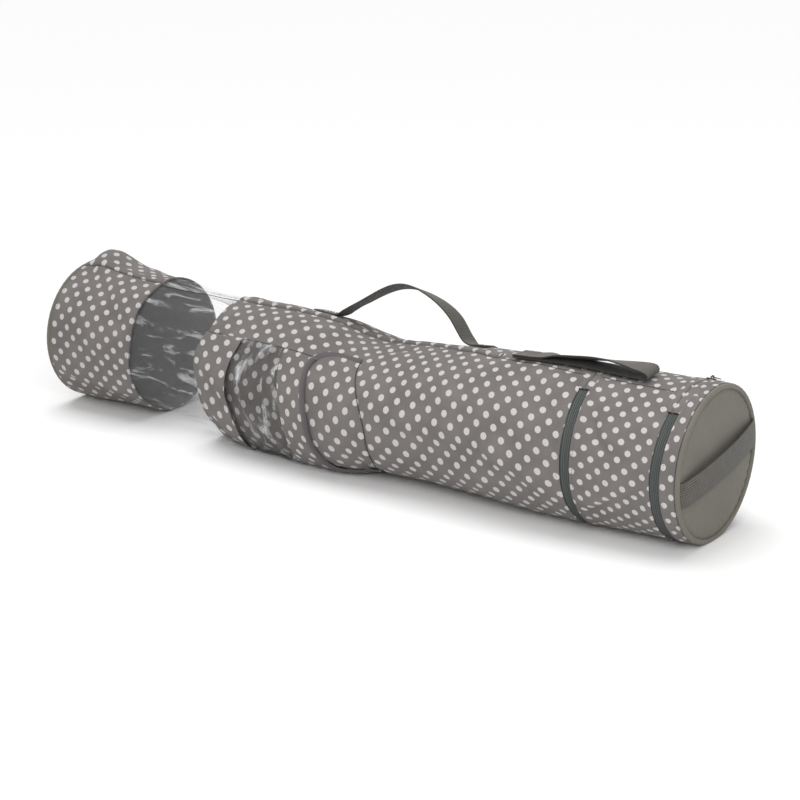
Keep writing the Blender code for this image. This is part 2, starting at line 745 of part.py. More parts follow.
def hanging_loop():
    left, right = [], []

    def add(station, height, lean):
        across = Vector((0, math.cos(lean), -math.sin(lean))) * WEBBING / 2
        centre = Vector((FAR_END + station, LOOP_Y + SIDE_SHIFT, height))
        left.append(centre - across)
        right.append(centre + across)

    start = LOOP_START + 0.0012
    for station in spread(start, LOOP_TIP - 0.004, 0.014):
        add(station, loop_height(station), -math.radians(3 * ease(0.70, LOOP_TIP, station)))
    low = loop_height(LOOP_TIP)
    for k in range(1, 6):
        turn = math.radians(-90 + 36 * k - 18)
        add(LOOP_TIP - 0.004 + LOOP_FOLD * math.cos(turn), low + LOOP_FOLD + LOOP_FOLD * math.sin(turn),
            -math.radians(3 + k))
    back = spread(start, LOOP_TIP - 0.005, 0.013)
    back.reverse()
    for station in back:
        t = (station - start) / (LOOP_TIP - start)
        hump = LOOP_RISE * math.sin(math.pi * t) ** 1.1
        lift = LOOP_APART + (2 * LOOP_FOLD - LOOP_APART) * ease(0.0, 1.0, t) + hump
        lean = math.radians(-8 + 28 * (1 - ease(0.45, 1.0, t)) * ease(0.0, 0.35, t))
        lean = lean * ease(0.0, 0.12, t)
        add(station, loop_height(station) + lift, lean)
    left.reverse()
    right.reverse()
    return ribbon("hanging_loop", left, right, "webbing")


def build():
    far_end()
    window()
    body_panel()
    seams()
    pocket()
    binding()
    zip_side(1, -1, SPINE_FRONT_1, "body")
    handle_feet()
    handle_legs()
    loop_anchor()

    supplies_hinge = joint_empty("supplies_hinge", SPINE_1)
    lid_hinge = joint_empty("lid_hinge", SPINE_2, supplies_hinge)
    hang(supplies_section(), supplies_hinge)
    hang(zip_side(1, 1, SPINE_FRONT_1, "supplies"), supplies_hinge)
    hang(zip_side(2, -1, SPINE_FRONT_2, "supplies"), supplies_hinge)
    hang(zip_side(2, 1, SPINE_FRONT_2, "lid"), lid_hinge)
    hang(lid(), lid_hinge)

    for number, carrier in ((1, None), (2, supplies_hinge)):
        zip_station = ZIP_1 if number == 1 else ZIP_2
        _, _, axis_y, axis_z = section(zip_station)
        centre = Vector((FAR_END + zip_station, axis_y, axis_z))
        travel = joint_empty(f"zip_{number}_travel", centre, carrier)
        flip = joint_empty(f"zip_{number}_flip", pull_axis(number), travel)
        hang([slider(number)], travel)
        hang([pull(number)], flip)

    feet = Vector((FAR_END + HANDLE_MIDDLE, HANDLE_Y + SIDE_SHIFT, HANDLE_AXIS_Z))
    hang([carry_handle()], joint_empty("handle_swing", feet))
    fold = Vector((FAR_END + LOOP_START, LOOP_Y + SIDE_SHIFT, loop_height(LOOP_START) + 0.0022))
    hang([hanging_loop()], joint_empty("loop_lift", fold))


build()
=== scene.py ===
"""Gift wrap organizer: the visual model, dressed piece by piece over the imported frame.

Metres, +Z up, +X along the tube towards the lid, -Y towards the pocket. Stations are
measured along the tube from its far end, angles go round it from the top (0) through the
pocket side (90) to the underside (180). In a panel's shape s and a are a point's station and
angle, and h is its height off the tube.
"""

import math

import bpy
import numpy as np
from mathutils import Matrix, Vector


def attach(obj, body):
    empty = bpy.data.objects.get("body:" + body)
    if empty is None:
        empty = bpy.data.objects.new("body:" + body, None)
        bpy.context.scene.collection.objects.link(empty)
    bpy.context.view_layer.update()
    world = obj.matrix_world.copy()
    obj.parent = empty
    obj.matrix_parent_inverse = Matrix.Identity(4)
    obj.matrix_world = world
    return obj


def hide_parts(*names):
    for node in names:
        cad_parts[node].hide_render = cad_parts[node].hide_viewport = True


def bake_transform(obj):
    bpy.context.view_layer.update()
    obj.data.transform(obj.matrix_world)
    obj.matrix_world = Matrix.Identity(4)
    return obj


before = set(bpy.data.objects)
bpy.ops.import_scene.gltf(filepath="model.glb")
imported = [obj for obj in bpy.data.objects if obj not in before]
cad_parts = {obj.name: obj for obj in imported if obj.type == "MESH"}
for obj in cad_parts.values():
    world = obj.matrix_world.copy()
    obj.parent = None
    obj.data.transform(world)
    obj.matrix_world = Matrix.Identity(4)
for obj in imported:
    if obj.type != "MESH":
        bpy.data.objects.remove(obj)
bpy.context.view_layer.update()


# Camera, floor and lights
# A plain white sweep under soft studio light: a broad lamp above and behind the bag, a big
# box over the front, and a white room all round that the clear film can mirror.
AZIMUTH, ELEVATION = math.radians(35.8124), math.radians(18.0633)
back = Vector((math.sin(AZIMUTH) * math.cos(ELEVATION), -math.cos(AZIMUTH) * math.cos(ELEVATION),
               math.sin(ELEVATION)))
right = Vector((math.cos(AZIMUTH), math.sin(AZIMUTH), 0))
CAMERA_PLACE = (1.37489, -1.86137, 0.82499)
lens = bpy.data.cameras.new("camera")
lens.sensor_width = 36
lens.lens = 99.18
camera = bpy.data.objects.new("camera", lens)
bpy.context.scene.collection.objects.link(camera)
camera.matrix_world = Matrix.Translation(CAMERA_PLACE) @ Matrix(
    (right, back.cross(right), back)).transposed().to_4x4()
bpy.context.scene.camera = camera
bpy.context.scene.view_settings.view_transform = "Standard"


def feed(node, inputs):
    """Sets a shader node's sockets to values, or links them to other nodes' outputs."""
    for key, value in inputs.items():
        if isinstance(value, bpy.types.NodeSocket):
            node.id_data.links.new(value, node.inputs[key])
        else:
            node.inputs[key].default_value = value


def put(tree, kind, inputs=None, **settings):
    """Adds one shader node."""
    made = tree.nodes.new(kind)
    for key, value in settings.items():
        setattr(made, key, value)
    feed(made, inputs or {})
    return made


def maths(tree, operation, *values):
    return put(tree, "ShaderNodeMath", dict(enumerate(values)), operation=operation).outputs[0]


bpy.ops.object.select_all(action="DESELECT")
bpy.ops.mesh.primitive_plane_add(size=14, location=(0, 0, 0))
floor = bpy.context.active_object
floor.name = "floor"
floor_white = bpy.data.materials.new("floor_white")
floor_white.use_nodes = True
floor_tree = floor_white.node_tree
watched = put(floor_tree, "ShaderNodeLightPath").outputs
feed(floor_tree.nodes["Principled BSDF"], {
    "Base Color": maths(floor_tree, "MULTIPLY_ADD", watched["Is Camera Ray"], 0.22, 0.92),
    "Roughness": 0.9, "Specular IOR Level": 0.0})
floor.data.materials.append(floor_white)

room = bpy.data.worlds.new("room")
bpy.context.scene.world = room
room.use_nodes = True
air = room.node_tree
air.nodes.clear()
seen = put(air, "ShaderNodeLightPath").outputs
straight = maths(air, "MAXIMUM", seen["Is Camera Ray"], seen["Is Transmission Ray"])
mirrored = maths(air, "MAXIMUM", straight, seen["Is Glossy Ray"])
glow, white = (put(air, "ShaderNodeBackground", {"Color": (1, 1, 1, 1), "Strength": strength}).outputs[0]
               for strength in (0.43, 1.0))
both = put(air, "ShaderNodeMixShader", {0: mirrored, 1: glow, 2: white})
put(air, "ShaderNodeOutputWorld", {"Surface": both.outputs[0]})


def lamp(name, kind, place, aim, power):
    light = bpy.data.lights.new(name, kind)
    light.energy = power
    holder = bpy.data.objects.new(name, light)
    bpy.context.scene.collection.objects.link(holder)
    holder.location = place
    holder.rotation_mode = "QUATERNION"
    holder.rotation_quaternion = (Vector(aim) - Vector(place)).to_track_quat("-Z", "Y")
    return light


lamp("broad_lamp", "SUN", (-0.5, 0.15, 2.2), (0, 0, 0), 1.35).angle = math.radians(46)
front_box = lamp("front_box", "AREA", (1.2, -1.3, 1.2), (0.1, 0, 0.05), 13.0)
front_box.shape = "RECTANGLE"
front_box.size, front_box.size_y = 1.6, 1.0


# Far panel
# The first panel of dotted polyester canvas, sewn to the piped rim at one end and to the clear
# film at the other. The tube is slack: drape folds run down to where the bag stands.
FAR_END = -0.4299             # X of station 0
AXIS_Y = 0.0056               # Y of the rims' axis
RIM = 0.0825                  # rim radius
CLOTH = 0.0014
FAR_PANEL_END = 0.1300        # station of its edge over the film, where it isn't sewn askew
HEM_STITCHES = 0.0034         # from a hem's edge to its line of thread
SLACK = np.array((            # station, girth radius, top, clearance under, lean to the front
    (0.000, RIM, 0.1635, -0.0015, 0.0000), (0.035, 0.0829, 0.1648, -0.0010, 0.0000),
    (0.090, 0.0808, 0.1627, 0.0015, 0.0000), (0.131, 0.0789, 0.1597, 0.0019, 0.0000),
    (0.175, 0.0772, 0.1546, 0.0003, 0.0000), (0.215, 0.0775, 0.1532, -0.0008, 0.0000),
    (0.262, 0.0812, 0.1524, -0.0010, 0.0000), (0.320, RIM, 0.1522, -0.0010, 0.0000),
    (0.365, RIM, 0.1492, -0.0010, 0.0000), (0.408, RIM, 0.1402, -0.0010, 0.0010),
    (0.440, RIM, 0.1375, -0.0010, 0.0040), (0.475, RIM, 0.1420, -0.0010, 0.0060),
    (0.524, RIM, 0.1472, -0.0010, 0.0050), (0.582, RIM, 0.1535, -0.0010, 0.0080),
    (0.641, RIM, 0.1602, -0.0012, 0.0130), (0.700, RIM, 0.1635, -0.0015, 0.0145),
    (0.757, RIM, 0.1635, -0.0015, 0.0095), (0.820, RIM, 0.1635, -0.0015, 0.0030),
    (0.850, RIM, 0.1635, -0.0015, 0.0000)))
SEAM_LINE = ((0.000, 13), (0.090, 14), (0.131, 12), (0.200, 3), (0.260, 2), (0.330, 0), (0.420, -8),
             (0.500, -1), (0.560, 5), (0.600, 10), (0.650, 13), (0.720, 16), (0.780, 18), (0.850, 20))


def curve(x, y, slope, at):
    """Reads a smooth curve through the points x, y, which has these slopes there."""
    i = np.clip(np.searchsorted(x, at) - 1, 0, len(x) - 2)
    shape = np.shape(at) + (1,) * (y.ndim - 1)
    span = (x[i + 1] - x[i]).reshape(shape)
    t = (at - x[i]).reshape(shape) / span
    held = (2 * t**3 - 3 * t**2 + 1) * y[i] + (3 * t**2 - 2 * t**3) * y[i + 1]
    return held + (t**3 - 2 * t**2 + t) * span * slope[i] + (t**3 - t**2) * span * slope[i + 1]


def slack(station, column):
    """Smooth curve through one column of the slack table."""
    x, y = SLACK[:, 0], SLACK[:, column]
    slope = np.zeros(len(x))
    slope[1:-1] = (y[2:] - y[:-2]) / (x[2:] - x[:-2])
    return curve(x, y, slope, station)


def tube(station, angle, out=0.0):
    """Points on the bag's skin, or out metres off it, never under the floor."""
    station, angle, out = np.broadcast_arrays(*(np.asarray(v, float) for v in (station, angle, out)))
    half_height = (slack(station, 2) - slack(station, 3)) / 2
    half_width = np.sqrt(2 * slack(station, 1) ** 2 - half_height**2)
    axis_z = slack(station, 3) + half_height
    across, up = np.sin(np.radians(angle)), np.cos(np.radians(angle))
    reach = 1 / np.sqrt((across / half_width) ** 2 + (up / half_height) ** 2) + out
    above = np.clip(-out, 0.0003, 0.004)
    reach = np.where(up < -0.05, np.minimum(reach, (axis_z - above) / np.maximum(-up, 0.05)), reach)
    return np.stack([FAR_END + station, AXIS_Y - slack(station, 4) - reach * across,
                     axis_z + reach * up], -1)


def ease(low, high, value):
    """Goes smoothly from 0 at low to 1 at high, whichever of the two is greater."""
    t = np.clip((value - low) / (high - low), 0, 1)
    return t * t * (3 - 2 * t)


def seam_at(station):
    x, y = np.array(SEAM_LINE).T
    i = np.clip(np.searchsorted(x, station) - 1, 0, len(x) - 2)
    return y[i] + (y[i + 1] - y[i]) * ease(x[i], x[i + 1], station)


def spread(start, end, longest, *more):
    """Even steps, none over longest. More ends, each with its longest step, go on from there."""
    steps = np.linspace(start, end, max(1, math.ceil((end - start) / longest)) + 1)
    return np.concatenate([steps[:-1], spread(end, *more)]) if more else steps


def from_top(angle):
    """Angles of the back, past 200 degrees, counted from the top the other way."""
    return np.where(angle > 200, angle - 360, angle)


def fold(station, angle, path, ridge=0.0, step=0.0, width=0.008, wide=3.0):
    """Height of one soft fold along a path. A step lowers the cloth below the path."""
    here = np.stack([station, RIM * np.radians(angle)], -1)
    line = np.array([(s, RIM * math.radians(a)) for s, a in path])
    lengths = np.concatenate([[0], np.cumsum(np.linalg.norm(np.diff(line, axis=0), axis=1))])
    nearest = np.full(here.shape[:-1], 9.0)
    side = np.zeros_like(nearest)
    along = np.zeros_like(nearest)
    for k, run in enumerate(np.diff(line, axis=0)):
        size = np.linalg.norm(run)
        to = here - line[k]
        t = np.clip(to @ run / size**2, 0, 1)
        off = np.linalg.norm(to - t[..., None] * run, axis=-1)
        closer = off < nearest
        nearest = np.where(closer, off, nearest)
        side = np.where(closer, np.sign(run[0] * to[..., 1] - run[1] * to[..., 0]) * off, side)
        along = np.where(closer, (lengths[k] + t * size) / lengths[-1], along)
    height = ridge * np.exp(-(nearest / width) ** 2)
    height -= step * np.tanh(side / width) * np.exp(-(nearest / (wide * width)) ** 2)
    return height * ease(-0.02, 0.25, along) * ease(-0.02, 0.25, 1 - along)


def ripple(station, angle, seed, finest=75):
    """Slight unevenness of slack cloth, the same again after a full turn."""
    waves = np.random.default_rng(seed)
    total = np.zeros(np.broadcast(station, angle).shape)
    for _ in range(9):
        k, m = waves.uniform(18, finest), waves.integers(2, 10)
        a, b = waves.uniform(0, 2 * math.pi, 2)
        total += np.sin(k * station + a) * np.sin(m * np.radians(angle) + b) / 4
    return total


def lay(name, lines, turns, shape):
    """A flat cut of cloth, laid over the bag by shape(line, turn)."""
    bpy.ops.object.select_all(action="DESELECT")
    bpy.ops.mesh.primitive_grid_add(x_subdivisions=len(lines) - 1, y_subdivisions=len(turns) - 1, size=2)
    piece = bpy.context.active_object
    piece.name = name
    mesh = piece.data
    mesh.name = name
    flat = np.empty(len(mesh.vertices) * 3)
    mesh.vertices.foreach_get("co", flat)
    flat = flat.reshape(-1, 3)
    line = np.asarray(lines, float)[np.rint((flat[:, 0] + 1) / 2 * (len(lines) - 1)).astype(int)]
    turn = np.asarray(turns, float)[np.rint((1 - flat[:, 1]) / 2 * (len(turns) - 1)).astype(int)]
    mesh.vertices.foreach_set("co", np.ascontiguousarray(shape(line, turn)).ravel())
    mesh.update()
    return piece, line, turn


def print_on(piece, x, y):
    """Writes the cloth's own coordinates at each corner, for its weave and print to follow."""
    mesh = piece.data
    corner = np.empty(len(mesh.loops), np.int32)
    mesh.loops.foreach_get("vertex_index", corner)
    mesh.uv_layers[0].data.foreach_set("uv", np.stack([x, y], -1)[corner].astype(np.float32).ravel())


def dot_grid(station, angle, start, across=(20.9, 1.5), round_it=(0.8, 20.9)):
    """Whole and half numbers are the middles of dots; the steps between them are in mm."""
    here = np.stack([station * 1000 - start[0], RIM * 1000 * np.radians(angle) - start[1]])
    return np.linalg.inv(np.array([across, round_it]).T) @ here


def pick(piece):
    """The next operators act on this piece alone."""
    bpy.ops.object.select_all(action="DESELECT")
    piece.select_set(True)
    bpy.context.view_layer.objects.active = piece


def run_modifier(piece, kind, **settings):
    pick(piece)
    step = piece.modifiers.new(kind.lower(), kind)
    for key, value in settings.items():
        setattr(step, key, value)
    bpy.ops.object.modifier_apply(modifier=step.name)


def close_round(piece):
    """Sews the two ends of a cut that goes right round."""
    pick(piece)
    bpy.ops.object.mode_set(mode="EDIT")
    bpy.ops.mesh.select_all(action="SELECT")
    bpy.ops.mesh.remove_doubles(threshold=0.00002)
    bpy.ops.object.mode_set(mode="OBJECT")


def back_with(piece, outside, inside, thick=CLOTH, offset=-1):
    """Gives a laid cut its thickness and its two faces."""
    piece.data.materials.append(outside)
    piece.data.materials.append(inside)
    run_modifier(piece, "SOLIDIFY", thickness=thick, offset=offset, material_offset=1)
    bpy.ops.object.shade_smooth_by_angle(angle=math.radians(50))


def dress(piece, body, slot, *nodes):
    """The piece rides on its body in place of the frame's plain nodes."""
    if body is not None:
        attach(piece, body)
    if nodes:
        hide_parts(*nodes)


def new_finish(name, roughness, sheen=0.0, specular=0.3):
    """A material with its tree, its shader and the coordinates that a pattern can follow."""
    material = bpy.data.materials.new(name)
    material.use_nodes = True
    tree = material.node_tree
    shader = tree.nodes["Principled BSDF"]
    feed(shader, {"Roughness": roughness, "Specular IOR Level": specular, "Sheen Weight": sheen})
    return material, tree, shader, put(tree, "ShaderNodeTexCoord").outputs


def noise(tree, vector, scale, detail=2.0, **more):
    inputs = {"Vector": vector, "Scale": scale, "Detail": detail, **more}
    return put(tree, "ShaderNodeTexNoise", inputs).outputs["Fac"]


def bands(tree, vector, scale, direction):
    return put(tree, "ShaderNodeTexWave", {"Vector": vector, "Scale": scale},
               bands_direction=direction).outputs["Fac"]


def ranged(tree, value, low=0.0, high=1.0, least=0.0, most=1.0, **settings):
    """The value from low to high, carried over to least to most."""
    return put(tree, "ShaderNodeMapRange", {"Value": value, "From Min": low, "From Max": high,
                                            "To Min": least, "To Max": most}, **settings).outputs[0]


def mixed(tree, share, first, second):
    return put(tree, "ShaderNodeMix", {"Factor": share, 6: first, 7: second}, data_type="RGBA").outputs[2]


def shaded(tree, colour, value, least, most):
    """The colour, darker or paler as the value goes from 0 to 1."""
    by = ranged(tree, value, least=least, most=most)
    return put(tree, "ShaderNodeVectorMath", {0: colour, "Scale": by}, operation="SCALE").outputs[0]


def relief(tree, height, strength, distance, **under):
    """A bump of the height, over the normal of another where one is given."""
    inputs = {"Height": height, "Strength": strength, "Distance": distance, **under}
    return put(tree, "ShaderNodeBump", inputs).outputs[0]


def uneven(tree, colour, share, coordinates, scale):
    """The colour, darker and paler by share in soft patches."""
    deep = tuple(c * (1 - share) for c in colour) + (1,)
    pale = tuple(min(1, c * (1 + share)) for c in colour) + (1,)
    return mixed(tree, ranged(tree, noise(tree, coordinates, scale, 3.0), 0.3, 0.7), deep, pale)


def weave(tree, cloth, across, along, depth, **under):
    """Two sets of threads as crossed bands. Returns the crossing and its relief."""
    crossed = maths(tree, "MULTIPLY", bands(tree, cloth, across, "X"), bands(tree, cloth, along, "Y"))
    return crossed, relief(tree, crossed, 0.6, depth, **under)


def dots(tree, cloth, ground, ink):
    """Round printed dots at the whole and the half numbers of the cloth's own coordinates."""
    near = []
    for shift in ((0, 0, 0), (0.5, 0.5, 0)):
        cell = cloth
        for operation, by in (("ADD", shift), ("FRACTION", (0, 0, 0)), ("SUBTRACT", (0.5, 0.5, 0))):
            cell = put(tree, "ShaderNodeVectorMath", {0: cell, 1: by}, operation=operation).outputs[0]
        near.append(put(tree, "ShaderNodeVectorMath", {0: cell}, operation="LENGTH").outputs["Value"])
    edge = maths(tree, "MULTIPLY_ADD", noise(tree, cloth, 9.0, 1.0), 0.022, maths(tree, "MINIMUM", *near))
    return mixed(tree, ranged(tree, edge, 0.192, 0.174, interpolation_type="SMOOTHSTEP"), ground, ink)


def canvas(name, colour, dotted=True):
    """Polyester canvas: fine weave, slightly uneven dye, soft creases and, if asked, dots."""
    material, tree, shader, place = new_finish(name, 0.8, sheen=0.1, specular=0.22)
    cloth = place["UV"]
    dyed = uneven(tree, colour, 0.11, place["Object"], 34.0)
    ground = shaded(tree, dyed, noise(tree, cloth, 30.0), 0.66, 1.34)
    if dotted:
        ground = dots(tree, cloth, ground, uneven(tree, (0.66, 0.63, 0.62), 0.05, cloth, 14.0))
    soft = relief(tree, noise(tree, place["Object"], 60.0), 0.5, 0.003)
    feed(shader, {"Base Color": ground, "Normal": weave(tree, cloth, 11.9, 11.9, 0.00012, Normal=soft)[1]})
    return material


dotted_cloth = canvas("dotted_cloth", (0.205, 0.189, 0.181))
lining = canvas("lining_cloth", (0.20, 0.188, 0.18), dotted=False)


def round_panel(name, stations, drape, moved=None, steps=228):
    """A panel that goes right round and is sewn to itself along the top seam."""
    def place(station, turn):
        angle = seam_at(station) + 360 * turn
        front = from_top(angle)
        return (station if moved is None else moved(station, front)), angle, front

    def shape(station, turn):
        station, angle, front = place(station, turn)
        return tube(station, angle, drape(station, front))

    piece, station, turn = lay(name, stations, np.linspace(0, 1, steps + 1), shape)
    station, angle, _ = place(station, turn)
    return piece, station, angle


def hem(distance):
    """A folded hem: thicker for a few millimetres, rounded at its edge, dented by its stitches."""
    dent = 0.0005 * np.exp(-((distance - HEM_STITCHES) / 0.0006) ** 2)
    return 0.0008 * ease(0.008, 0.005, distance) - 0.0012 * ease(0.0014, 0.0, distance) - dent


def far_drape(s, a):
    h = 0.0135 * np.exp(-((a + 9) / 22) ** 2) * ease(0.005, 0.020, s) * ease(0.070, 0.024, s)
    h -= 0.0030 * np.exp(-((a + 24) / 26) ** 2) * ease(0.070, 0.095, s) * ease(0.130, 0.118, s)
    h += 0.0007 * ripple(s, a, 3) * ease(0.004, 0.03, s) * ease(0.132, 0.12, s)
    h += fold(s, a, ((0.010, 4), (0.028, 18), (0.060, 34), (0.095, 52), (0.122, 74)), -0.0034, 0.0026, 0.010)
    h += fold(s, a, ((0.006, 112), (0.045, 122), (0.085, 127), (0.128, 134)), 0.0010, 0.0040, 0.007)
    h += fold(s, a, ((0.012, 2), (0.020, 12), (0.036, 24)), -0.0016, 0.0, 0.004)
    h += fold(s, a, ((0.012, 60), (0.050, 84), (0.100, 96)), 0.0, 0.0022, 0.010)
    h += fold(s, a, ((0.018, 128), (0.060, 138), (0.110, 150)), -0.0018, 0.0, 0.006)
    h += fold(s, a, ((0.020, -60), (0.070, -84), (0.120, -70)), -0.002, 0.001, 0.012)
    return h + hem(far_edge(FAR_PANEL_END, a) - s) * (s > 0.10)


def far_edge(station, angle):
    """The edge over the film wanders a few millimetres, as it was sewn."""
    edge = np.interp(angle, (-160, -5, 18, 47, 82, 93, 138, 200),
                     (0.1300, 0.1265, 0.1290, 0.1280, 0.1305, 0.1285, 0.1290, 0.1300))
    return station + (edge - FAR_PANEL_END) * np.clip((station - 0.08) / 0.05, 0, 1)


def far_grid(s, a):
    return dot_grid(s, a, (18.59, 12.51))


stations = spread(0.0059, 0.121, 0.0023, FAR_PANEL_END, 0.0009)
far_panel, s, a = round_panel("far_panel", stations, far_drape, far_edge)
print_on(far_panel, *far_grid(s, a))
close_round(far_panel)
back_with(far_panel, dotted_cloth, lining)
dress(far_panel, "bag", "dotted_fabric", "far_sleeve")


# Far end
# A round cover of plain olive-grey cloth over a stiff board, and a covered cord, the piping,
# sewn into the rim all round. The board stays as it is in the frame, out of sight.
COVER_RADIUS = 0.0768
PIPING_CORD = 0.0028


def plain_cloth(name, colour):
    """Plain cloth of a close weave, a little shiny on its threads."""
    material, tree, shader, place = new_finish(name, 0.7, sheen=0.12)
    dyed = uneven(tree, colour, 0.06, place["Object"], 30.0)
    soft = relief(tree, noise(tree, place["Object"], 70.0), 0.3, 0.0015)
    feed(shader, {"Base Color": shaded(tree, dyed, noise(tree, place["UV"], 1400.0, 1.0), 0.75, 1.25),
                  "Normal": weave(tree, place["UV"], 570.0, 570.0, 0.0001, Normal=soft)[1]})
    return material


cover_cloth = plain_cloth("cover_cloth", (0.195, 0.184, 0.152))
board_finish, tree, shader, place = new_finish("board", 0.6)
feed(shader, {"Base Color": uneven(tree, (0.13, 0.13, 0.13), 0.15, place["Object"], 90.0)})


def refinish(material, *nodes):
    """Gives nodes that keep their own shape a better finish."""
    for node in nodes:
        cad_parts[node].data.materials.clear()
        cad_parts[node].data.materials.append(material)


refinish(board_finish, "far_board", "lid_board")


def round_cover(name, station, facing, bulge):
    """A round of cloth across the tube, its edge drawn in by the rim's seam; facing is -1 or +1."""
    middle_z = (slack(station, 2) + slack(station, 3)) / 2

    def shape(radius, turn):
        angle = np.radians(-facing * turn)
        share = radius / COVER_RADIUS
        puckers = 0.0004 * np.sin(angle * 46) * ease(0.80, 0.97, share)
        drawn = bulge * (1 - share**2) - 0.0012 * ease(0.955, 1.0, share) + puckers
        return np.stack([FAR_END + station + facing * drawn, AXIS_Y - radius * np.sin(angle),
                         middle_z + radius * np.cos(angle)], -1)

    radii = np.concatenate([[0], spread(0.004, 0.060, 0.004, COVER_RADIUS, 0.0012)])
    piece, radius, turn = lay(name, radii, np.linspace(0, 360, 193), shape)
    print_on(piece, radius * np.cos(np.radians(turn)), radius * np.sin(np.radians(turn)))
    close_round(piece)
    back_with(piece, cover_cloth, lining, 0.0012)
    return piece


def covered_cord(name, station):
    """Piping: a cord in a strip of cloth, slightly gathered, pressed flat where it stands."""
    middle_z = (slack(station, 2) + slack(station, 3)) / 2

    def shape(turn_small, turn):
        around = np.radians(turn_small)
        angle = np.radians(turn)
        cord = PIPING_CORD * (1 + 0.035 * np.sin(angle * 61 + np.sin(angle * 7)) * np.cos(around))
        radius = RIM - PIPING_CORD + cord * np.cos(around)
        points = np.stack([FAR_END + station + cord * np.sin(around), AXIS_Y - radius * np.sin(angle),
                           middle_z + radius * np.cos(angle)], -1)
        points[:, 2] = np.maximum(points[:, 2], 0.0003)
        return points

    piece, around, turn = lay(name, np.linspace(0, 360, 17), np.linspace(0, 360, 241), shape)
    print_on(piece, around / 360 * 0.0176, turn / 360 * 0.518)
    close_round(piece)
    piece.data.materials.append(cover_cloth)
    bpy.ops.object.shade_smooth()
    return piece


dress(round_cover("far_cover_cloth", 0.0016, -1, 0.0010), "bag", "plain_fabric", "far_cover")
dress(covered_cord("far_piping_cord", PIPING_CORD), "bag", "plain_fabric", "far_piping")


# Clear window
# One piece of clear vinyl right round the tube, its long edges under the cloth of both panels.
# It is thin, so it creases along the tube and mirrors the room; its white streaks along the creases
# are partly clouded film and partly painted highlights.
WINDOW_START, WINDOW_END = 0.1312, 0.2336
FILM = 0.0005
FILM_WHITE_AND_GLINT = (0.86, 0.88, 0.89, 1)


def vinyl(name, streaks, density, shine=0.8, clear=FILM_WHITE_AND_GLINT):
    """Clear film, see-through and shiny; its white crease streaks are partly painted highlight, and between
    them it takes its tint.
    """
    material, tree, shader, place = new_finish(name, 0.09, specular=shine)
    pulled = put(tree, "ShaderNodeMapping", {"Vector": place["UV"], "Scale": streaks}).outputs[0]
    creased = noise(tree, pulled, 1.0, 4.0, Roughness=0.62, Distortion=0.6)
    crease_white_and_glint = ranged(tree, creased, 0.52, 0.66)
    feed(shader, {"Coat Weight": 0.15, "Coat Roughness": 0.05, "IOR": 1.54,
                  "Alpha": ranged(tree, creased, 0.55, 0.74, density, density + 0.5),
                  "Base Color": mixed(tree, crease_white_and_glint, clear, FILM_WHITE_AND_GLINT),
                  "Normal": relief(tree, creased, 0.7, 0.004)})
    return material


# The window's white crease streaks are partly painted highlights.
window_vinyl = vinyl("window_vinyl", (14.0, 60.0, 1.0), 0.05)


def window_drape(s, a):
    free = ease(WINDOW_START - 0.001, WINDOW_START + 0.006, s)
    free = free * ease(WINDOW_END + 0.001, WINDOW_END - 0.006, s)
    h = 0.0010 * ripple(s, a, 11, finest=110)
    h += fold(s, a, ((0.134, 8), (0.165, 22), (0.200, 24), (0.230, 30)), 0.0012, 0.0, 0.005)
    h += fold(s, a, ((0.134, 52), (0.170, 60), (0.210, 74), (0.228, 90)), 0.0010, 0.0006, 0.006)
    h += fold(s, a, ((0.136, 118), (0.180, 112), (0.214, 104)), 0.0, 0.0012, 0.006)
    return h * free - 0.0017


stations = spread(WINDOW_START - 0.006, WINDOW_END + 0.006, 0.0022)
clear_window, s, a = round_panel("clear_window_film", stations, window_drape)
print_on(clear_window, s, RIM * np.radians(a))
close_round(clear_window)
back_with(clear_window, window_vinyl, window_vinyl, FILM)
dress(clear_window, "bag", "clear_film", "clear_window")


# Main panel
# The long panel of dotted canvas round the main space, from the film to the first zip. It is
# slack over the pocket side, where one long fold runs along the front down to the zip.
BODY_PANEL_END = 0.7200       # station that zip_edge then moves to the zip
ZIP_STATIONS = {1: 0.7245, 2: 0.8245}
ZIP_SHOWN = 0.0052            # half the zip that shows between the folded cloth edges
SPINE_BACK = -15.0            # between these angles cloth runs on past the zip
SPINE_FRONT = {1: 30.0, 2: 37.5}
SPINE_HALF = 0.0075


def zip_middle(number, angle):
    """The zip was sewn a little off its true round line."""
    path = {1: ((-160, 30, 86, 140, 200), (0.7245, 0.7252, 0.7272, 0.7290, 0.7245)),
            2: ((-160, 37, 86, 105, 140, 200), (0.8245, 0.8265, 0.8238, 0.8242, 0.8250, 0.8245))}[number]
    return np.interp(angle, *path)


def zip_edge(number, side, angle):
    """Station of the folded cloth edge beside a zip, or of the spine cloth's joint over it."""
    front = SPINE_FRONT[number]
    spine = ease(SPINE_BACK - 1.5, SPINE_BACK, angle) * ease(front + 1.5, front, angle)
    beside = zip_middle(number, angle) + side * ZIP_SHOWN
    return beside + (ZIP_STATIONS[number] + side * SPINE_HALF - beside) * spine


def pocket_right(angle):
    """Station of the seam that holds the pocket's side under the arched mouth."""
    return 0.4430 + 0.0375 * ease(38, 97, angle) - 0.0110 * ease(112, 150, angle)


POCKET_BULGE = 0.0155


def filled(station, angle):
    """How far the filled pocket stands off the bag."""
    along = np.clip((station - 0.222) / 0.240, 0, 1)
    return POCKET_BULGE * np.maximum(np.sin(math.pi * along), 0) ** 0.75 * ease(47, 125, angle)


def seam_groove(s, a):
    """The panel's two edges sink where they meet along the top."""
    return -0.0012 * np.exp(-(RIM * np.radians(a - seam_at(s)) / 0.0012) ** 2)


